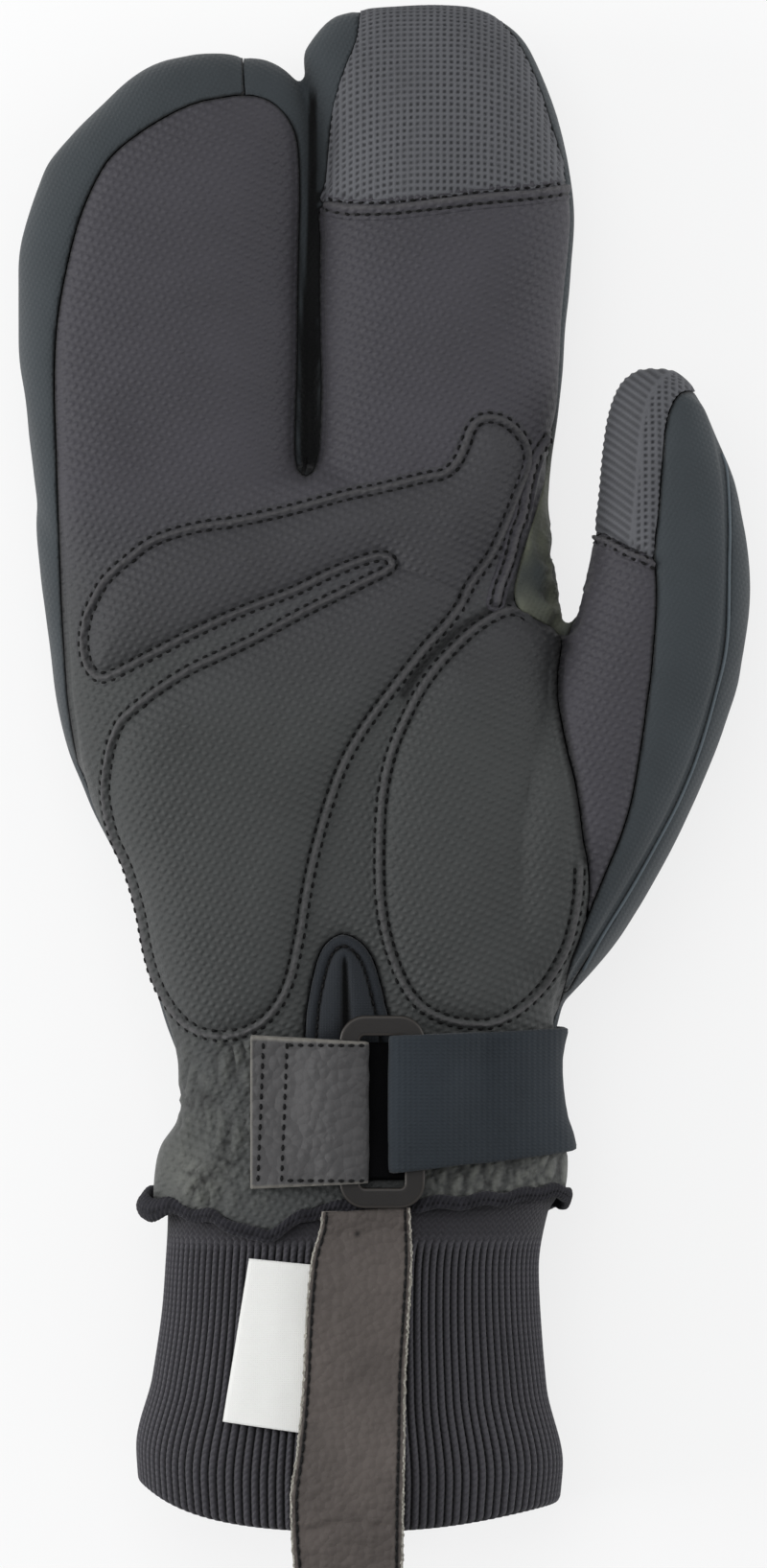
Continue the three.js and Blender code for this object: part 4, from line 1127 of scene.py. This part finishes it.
# Round the ring's middle line: four straight legs and four corners in turn.
def ringSurface(v, a):
    bar, corner = ring["bar"] / 2, ring["corner"]
    straightX, straightY = ring["width"] / 2 - bar - corner, ring["height"] / 2 - bar - corner
    turn = corner * math.pi / 2
    legs = np.cumsum([0, 2 * straightY, turn, 2 * straightX, turn, 2 * straightY, turn, 2 * straightX, turn])
    t = (v % 1.0) * legs[-1]
    leg = np.clip(np.searchsorted(legs, t, side="right") - 1, 0, 7)
    part = t - legs[leg]
    side = leg // 2
    corners = np.array([(1, 1), (-1, 1), (-1, -1), (1, -1)])[side]
    heading = side * math.pi / 2
    angle = heading + np.where(leg % 2 == 1, part / corner, 0)
    out = np.stack([np.cos(angle), np.sin(angle)], 1)
    centre = corners * [straightX, straightY]
    run = np.where(side % 2 == 0, 2 * straightY, 2 * straightX)
    back = np.stack([np.sin(heading), -np.cos(heading)], 1) * np.where(leg % 2 == 0, run - part, 0)[:, None]
    spot = centre + back + out * (corner + a * bar)[:, None]
    height = np.full(len(v), strap["ringZ"])
    return np.stack([spot[:, 0] + pattern["ringX"], spot[:, 1] + pattern["ringY"], height], 1)


def ringMarks(v, a, h, spots):
    return {"wear": ease(np.abs(a) + np.abs(h), 1.55, 1.75) * 0.7}


ringBm = strapForm(
    ringSurface, 32, 180, ring["bar"], ring["thick"], ring["round"], marks=ringMarks, capped=False,
)
makePiece(ringBm, "strap_ring", materials["ring"], ["strap_ring"])
print("wrist strap made")

# The knit cuff: ribs run down the wall, over the rolled rim and end inside.
cuff = {
    "ribs": 126, "perRib": 6, "depth": 0.75, "wall": 3.0, "end": 57.9, "start": -2.8, "rows": 74, "square": 2.2,
    "lean": 1.9, "wave": 0.8,
}
cuffRows = [  # run from the wrist, left, right, low, high, dip of the rim's middle
    (-2.8, -37.7, 40.7, 4.1, 43.2, 0.0), (0.4, -37.7, 40.2, 4.2, 42.9, 0.0), (4.7, -36.6, 37.8, 5.3, 42.8, 0.0),
    (16.1, -37.2, 36.0, 4.4, 43.9, 0.0), (37.5, -39.8, 37.3, 2.1, 47.1, 2.7), (52.0, -43.3, 40.6, 0.2, 49.8, 4.8),
    (58.4, -42.9, 40.2, 0.0, 50.2, 6.0),
]


def cuffPoints(s, angle, grow):
    left, right, low, high, dip = smoothRows(cuffRows, s).T
    across, up = squircle(angle, cuff["square"])
    x = (left + right) / 2 + across * ((right - left) / 2 + grow)
    z = (low + high) / 2 + up * ((high - low) / 2 + grow)
    lean = cuff["lean"] * np.sign(across) * across**6 * ease(s, 20, 55)
    return np.stack([x, -s - dip * (1 - np.abs(across) ** 2.7) - lean, np.maximum(z, 0.0)], 1)


def evenAngles(u):
    angle = np.linspace(0, 2 * np.pi, 721)
    loop = cuffPoints(np.full(721, 20.0), angle, 0)
    length = np.concatenate([[0], np.cumsum(np.linalg.norm(np.diff(loop, axis=0), axis=1))])
    return np.interp(u % 1.0, length / length[-1], angle)


# Down the outside, round the rim, up the inside and back to the start.
def cuffShape(u, v):
    end, start, half = cuff["end"], cuff["start"], cuff["wall"] / 2
    rim, inside, top = 0.68, 0.8, 0.97
    s = np.interp(v, [0, rim, inside, top, 1], [start, end, end, start, start])
    turn = np.clip((v - rim) / (inside - rim), 0, 1) * np.pi
    roll = (v > rim) & (v < inside)
    grow = np.where(v <= rim, 0, -cuff["wall"])
    grow = np.where(roll, half * np.cos(turn) - half, grow)
    grow = np.where(v > top, -cuff["wall"] * (1 - v) / (1 - top), grow)
    s = s + np.where(roll, half * np.sin(turn) * 1.1, 0)
    angle = evenAngles(u)
    points = cuffPoints(s, angle, grow)
    rib = np.abs(np.sin(np.pi * u * cuff["ribs"])) ** 0.75
    fade = np.where(v < rim, ease(s, 8.0, 12.0), np.where(roll, 1.0, 0.0))
    outward = np.stack([np.cos(angle), 0 * angle, np.sin(angle)], 1)
    wave = cuff["wave"] * softNoise(points, (16, 24, 16), 32) * ease(s, 10, 30) * (v < inside)
    lift = cuff["depth"] * (rib - 1) * fade + wave
    points = points + outward * lift[:, None]
    points[:, 2] = np.maximum(points[:, 2], 0.0)
    # The mark: painted shade between the ribs, and a darker plain band under the binding.
    band = 0.4 * ease(-s, -11.0, -8.5)
    return points, np.maximum((1 - rib) * fade, band), s


cuffBm = bmesh.new()
bmesh.ops.create_grid(cuffBm, x_segments=cuff["ribs"] * cuff["perRib"], y_segments=cuff["rows"], size=1)
flat = (coords(cuffBm.verts)[:, :2] + 1) / 2
spots, valley, run = cuffShape(flat[:, 0], flat[:, 1])
moveVerts(cuffBm.verts, spots)
setMarks(cuffBm, {"valley": valley, "run": run, "rib": flat[:, 0] * cuff["ribs"]})
bmesh.ops.remove_doubles(cuffBm, verts=cuffBm.verts, dist=1e-4)
settle(cuffBm)
makePiece(cuffBm, "knit_cuff", materials["knit"], ["knit_cuff"])
print("cuff made")

binding = {"width": 2.8, "thick": 1.5, "drop": 0.9, "flare": 0.35, "curl": 2.2, "stitches": 208}


def bindingSurface(v, a):
    angle = evenAngles(v)
    spot = sectionPoints(palmRows, np.zeros(len(v)), angle, 0.0)
    hem = hemLine(spot)
    leftward = ease(-spot[:, 0], 33, 39)
    y = hem - binding["drop"] - 0.6 * leftward + a * binding["width"] / 2 * (1 + 0.75 * leftward)
    underStrap = ease(spot[:, 0], -11, -8) * ease(-spot[:, 0], -14, -11) * (spot[:, 2] > 25)
    flare = binding["flare"] + 0.25 * np.sin(v * 2 * np.pi * 9) - 0.9 * underStrap
    flare += binding["curl"] * leftward * (1 - 0.5 * a**2)
    points = sectionPoints(palmRows, np.clip(y, -9.9, 0), angle, flare)
    points[:, 1] = y + 0.35 * np.sin(v * 2 * np.pi * 23 + 1)
    points[:, 2] = np.maximum(points[:, 2], 0.9)
    return points


def bindingRipple(v, a, p):
    return 0.2 * np.sin(2 * np.pi * (v * binding["stitches"] + a * 0.7)) + 0.25 * np.abs(a)


def bindingMarks(v, a, h, spots):
    beat = 0.6 + 0.4 * np.sin(2 * np.pi * v * binding["stitches"])
    return {"groove": np.exp(-(((a + 0.15) / 0.22) ** 2)) * beat}


bindingBm = strapForm(
    bindingSurface, 24, 900, binding["width"], binding["thick"], 0.6, bindingRipple, bindingMarks, capped=False,
)
makePiece(bindingBm, "cuff_binding", materials["binding"], ["cuff_binding"])


def cuffTop(x, y):
    s = np.clip(-y - 0.6 * smoothRows(cuffRows, np.clip(-y, 0, 57))[:, 4], -2.8, 57.2)
    left, right, low, high, _ = smoothRows(cuffRows, s).T
    share = np.clip(np.abs(x - (left + right) / 2) / ((right - left) / 2), 0, 0.98)
    return (low + high) / 2 + (high - low) / 2 * (1 - share ** cuff["square"]) ** (1 / cuff["square"])


pull = {"start": -3.3, "length": 75.7, "width": 20, "thick": 2.2, "seam": 0.88, "frayEdge": 0.985, "fray": 0.25}
pullEdges = [  # y, left, right
    (-79.0, -11.6, 9.4), (-75.0, -11.6, 9.4), (-66.2, -12.2, 9.5), (-59.1, -12.4, 9.6), (-49.5, -11.2, 9.8),
    (-37.7, -10.1, 9.9), (-23.6, -9.4, 10.7), (-12.8, -8.4, 11.2), (-6.0, -6.6, 10.9), (-3.0, -6.3, 10.8),
]


def pullSurface(v, a):
    y = pull["start"] - v * pull["length"]
    left, right = smoothRows(pullEdges, y).T
    x = (left + right) / 2 + a * (right - left) / 2
    droop = ease(-y, 66, 80) * 1.5
    lift = 1.5 + 0.7 * ease(-y, 8, 20) + ease(y, -8, -3.5)
    top = cuffTop(x, np.maximum(y, -64))
    middle = cuffTop((left + right) / 2, np.maximum(y, -64))
    return np.stack([x, y + 0.4 * np.sin(a * 2), middle * 0.6 + top * 0.4 + lift - droop], 1)


def pullRipple(v, a, p):
    bow = p[:, 1] + 63.5 + (p[:, 0] + 0.8) ** 2 * 0.025  # the crease where it bends over the cuff's rim
    crease = 0.5 * np.exp(-((bow / 0.8) ** 2)) * ease(-np.abs(a), -0.9, -0.5)
    return 0.2 * softNoise(p, (5, 8, 8), 41) + 0.16 * softNoise(p, (2.6, 1.3, 2), 42) - crease


def pullMarks(v, a, h, spots):
    wander = 0.012 * softNoise(spots, 1.1, 43)
    spot = np.exp(-(((spots[:, 0] - 0.6) ** 2 + (spots[:, 1] + 8.0) ** 2) / 0.5))
    groove = np.exp(-(((np.abs(a) - pull["seam"]) / 0.035) ** 2))
    return {"groove": groove, "raw": ease(np.abs(a) + wander, 0.945, 0.98), "spot": spot}


pullBm = strapForm(pullSurface, 120, 160, pull["width"], pull["thick"], 0.6, pullRipple, pullMarks)
pullTree = BVHTree.FromBMesh(pullBm)
makePiece(pullBm, "pull_strap", materials["strap"], ["pull_strap"])


label = {
    "corners": [(-20.6, -12.9), (-7.5, -14.1), (-9.6, -46.5), (-25.7, -44.4)], "width": 13.5, "thick": 0.4,
    "lift": 0.75, "flat": (0.0147, 0.0323),
}


def labelSurface(v, a):
    topLeft, topRight, lowRight, lowLeft = np.array(label["corners"])
    t, s = v[:, None], ((a + 1) / 2)[:, None]
    flat = (topLeft * (1 - s) + topRight * s) * (1 - t) + (lowLeft * (1 - s) + lowRight * s) * t
    lift = label["lift"] + 0.15 * np.sin(v * 5 + 1)
    return np.stack([flat[:, 0], flat[:, 1], cuffTop(flat[:, 0], flat[:, 1]) + lift], 1)


labelBm = strapForm(
    labelSurface, 40, 60, label["width"], label["thick"], 0.18, lambda v, a, p: 0.06 * softNoise(p, (3, 5, 3), 51),
)
labelPiece = makePiece(labelBm, "side_label", materials["label"], ["side_label"])
print("binding, pull strap and label made")


def tubeAlong(path, radius, around=8):
    path = np.array(path, float)
    ahead = np.gradient(path, axis=0)
    ahead /= np.linalg.norm(ahead, axis=1)[:, None]
    side = np.cross(ahead, (0, 0, 1.0))
    side /= np.linalg.norm(side, axis=1)[:, None]
    up = np.cross(side, ahead)

    def shape(u, v):
        i = np.round(v * (len(path) - 1)).astype(int)
        angle = (2 * np.pi * u)[:, None]
        return path[i] + radius * (np.cos(angle) * side[i] + np.sin(angle) * up[i])

    return settle(closedForm(bmesh.new(), around, len(path) - 1, shape))


def onTop(line, tree, lift):
    found = []
    for x, y in line:
        hit, normal, _, _ = tree.ray_cast(Vector((x, y, 90)), Vector((0, 0, -1)))
        if hit is not None:
            found.append(hit + normal * lift)
    return np.array(found)


piping = {"radius": 0.32, "lift": 0.1, "pitch": 0.8}
pipingLine = [
    (71.4, 143.5), (72.4, 139.7), (72.9, 130.0), (72.8, 122.1), (72.4, 106.9), (70.1, 96.2), (66.9, 85.3),
    (63.2, 76.1), (58.5, 67.1), (53.3, 57.9), (48.6, 50.3), (44.5, 43.0),
]
course = onTop(evenLine(smoothLine(pipingLine, 0.5, closed=False), piping["pitch"]), skinTree, piping["lift"])
makePiece(tubeAlong(evenLine(course, piping["pitch"]), piping["radius"]), "piping", materials["piping"])

# Stitches: one small bead each, laid on what is under them.
stitch = {"pitch": 2.0, "length": 1.35, "width": 0.72, "high": 0.4, "lift": 0.04}
thread = bmesh.new()


def addTo(whole, part):
    mesh = bpy.data.meshes.new("part")
    part.to_mesh(mesh)
    part.free()
    whole.from_mesh(mesh)
    bpy.data.meshes.remove(mesh)


def layStitches(line, tree, pitch=stitch["pitch"], length=stitch["length"], width=stitch["width"], closed=False,
                into=thread, skip=None):
    spots = evenLine(np.array(line, float), pitch, closed)
    if closed:
        spots = spots[:-1]
    ahead = np.roll(spots, -1, axis=0) - np.roll(spots, 1, axis=0)
    if not closed:
        ahead[0], ahead[-1] = spots[1] - spots[0], spots[-1] - spots[-2]
    row = bmesh.new()
    for spot, way in zip(spots, ahead):
        hit, normal, _, _ = tree.ray_cast(Vector((spot[0], spot[1], 90)), Vector((0, 0, -1)))
        if hit is None or (skip is not None and skip(spot)):
            continue
        up = normal if normal.z > 0 else -normal
        along = Vector((way[0], way[1], 0))
        along = (along - up * along.dot(up)).normalized()
        side = up.cross(along)
        turn = Matrix((along, side, up)).transposed().to_4x4()
        size = Matrix.Diagonal((length / 2, width / 2, width * stitch["high"], 1))
        bead = Matrix.Translation(hit + up * stitch["lift"]) @ turn @ size
        bmesh.ops.create_uvsphere(row, u_segments=6, v_segments=4, radius=1, matrix=bead)
    addTo(into, row)


def besideLine(line, amount, closed=False):
    line = np.array(line, float)
    way = np.roll(line, -1, axis=0) - np.roll(line, 1, axis=0)
    if not closed:
        way[0], way[-1] = line[1] - line[0], line[-1] - line[-2]
    way /= np.maximum(np.linalg.norm(way, axis=1), 1e-9)[:, None]
    return line + np.stack([-way[:, 1], way[:, 0]], 1) * amount


for name, line in padLines.items():
    for side in (-1, 1):
        layStitches(besideLine(line, side * pads["row"], True), padTrees[name], closed=True,
                    skip=lambda p: seamFade(name, np.array([p]))[0] < 0.5)
for name, (line, tree) in twinTrees.items():
    for side in (-1, 1):
        layStitches(besideLine(line, side * twinSeams[name][1]), tree)
layStitches([(-9.9, 139.8), (-9.6, 142.4)], skinTree, pitch=0.35, length=1.6)  # the bar tack below the slit
layStitches(besideLine(smoothLine(archLine, 0.5, closed=False), -2.3), archTree, pitch=1.6)
for x in (-18.2, -13.6):
    layStitches([(x + 0.5, 28.4), (x - 0.5, 2.8)], tabTree)
for y in (28.6, 2.4):
    layStitches([(-12.4, y), (1.4, y)], tabTree)
for side in (-pull["seam"], pull["seam"]):
    v = np.linspace(0.02, 0.98, 60)
    layStitches(pullSurface(v, np.full(60, side))[:, :2], pullTree, pitch=2.2, length=1.9, width=0.6)
settle(thread)
makePiece(thread, "stitches", materials["thread"])
rand = np.random.RandomState(11)
fray = bmesh.new()
for side in (-pull["frayEdge"], pull["frayEdge"]):
    v = np.linspace(0.01, 0.99, 260)
    edge = pullSurface(v, np.full(260, side))[:, :2] + rand.uniform(-pull["fray"], pull["fray"], (260, 2))
    layStitches(edge, pullTree, pitch=0.55, length=0.9, width=0.4, into=fray)
settle(fray)
makePiece(fray, "fray", materials["raw"])
print("stitches laid")

# Light, floor and camera.
studio = {"floor": 1.5, "floorTone": 0.2, "floorGlow": 0.745, "sky": (0.97, 0.985, 1, 1), "skyStrength": 0.55}
floorMesh = bpy.data.meshes.new("floor")
floorBm = bmesh.new()
bmesh.ops.create_grid(floorBm, x_segments=1, y_segments=1, size=studio["floor"])
floorBm.to_mesh(floorMesh)
floorBm.free()
floor = bpy.data.objects.new("floor", floorMesh)
bpy.context.scene.collection.objects.link(floor)
floorLook = bpy.data.materials.new("floor")
floorLook.use_nodes = True
floorShader = floorLook.node_tree.nodes["Principled BSDF"]
floorShader.inputs["Base Color"].default_value = (*[studio["floorTone"]] * 3, 1)
floorShader.inputs["Emission Color"].default_value = (1, 1, 1, 1)
floorShader.inputs["Emission Strength"].default_value = studio["floorGlow"]
floorShader.inputs["Roughness"].default_value = 0.9
floorShader.inputs["Specular IOR Level"].default_value = 0.1
floorMesh.materials.append(floorLook)

world = bpy.data.worlds.new("studio")
world.use_nodes = True
world.node_tree.nodes["Background"].inputs["Color"].default_value = studio["sky"]
world.node_tree.nodes["Background"].inputs["Strength"].default_value = studio["skyStrength"]
bpy.context.scene.world = world

lamps = [  # name, place, size, watts
    ("top", (-0.2, 0.4, 1.2), 0.8, 4.3), ("left", (-1.0, 0.0, 0.42), 0.6, 9.5),
    ("right", (1.0, 0.25, 0.36), 0.6, 5.5),
]
for name, spot, size, power in lamps:
    light = bpy.data.lights.new(name, "AREA")
    light.size = size
    light.energy = power
    lamp = bpy.data.objects.new(name, light)
    bpy.context.scene.collection.objects.link(lamp)
    lamp.location = spot
    lamp.rotation_euler = (Vector((0, 0, 0.02)) - Vector(spot)).to_track_quat("-Z", "Y").to_euler()

picture = {"x": -0.0001, "y": 0.0032, "height": 0.30656, "plane": 0.027, "lens": 250}
camera = bpy.data.objects.new("camera", bpy.data.cameras.new("camera"))
bpy.context.scene.collection.objects.link(camera)
camera.data.lens = picture["lens"]
camera.data.sensor_width = 36
camera.location = (picture["x"], picture["y"], picture["plane"] + picture["lens"] / 36 * picture["height"])
camera.rotation_euler = (0, 0, 0)
bpy.context.scene.camera = camera
bpy.context.scene.view_settings.view_transform = "Standard"

print("studio set")
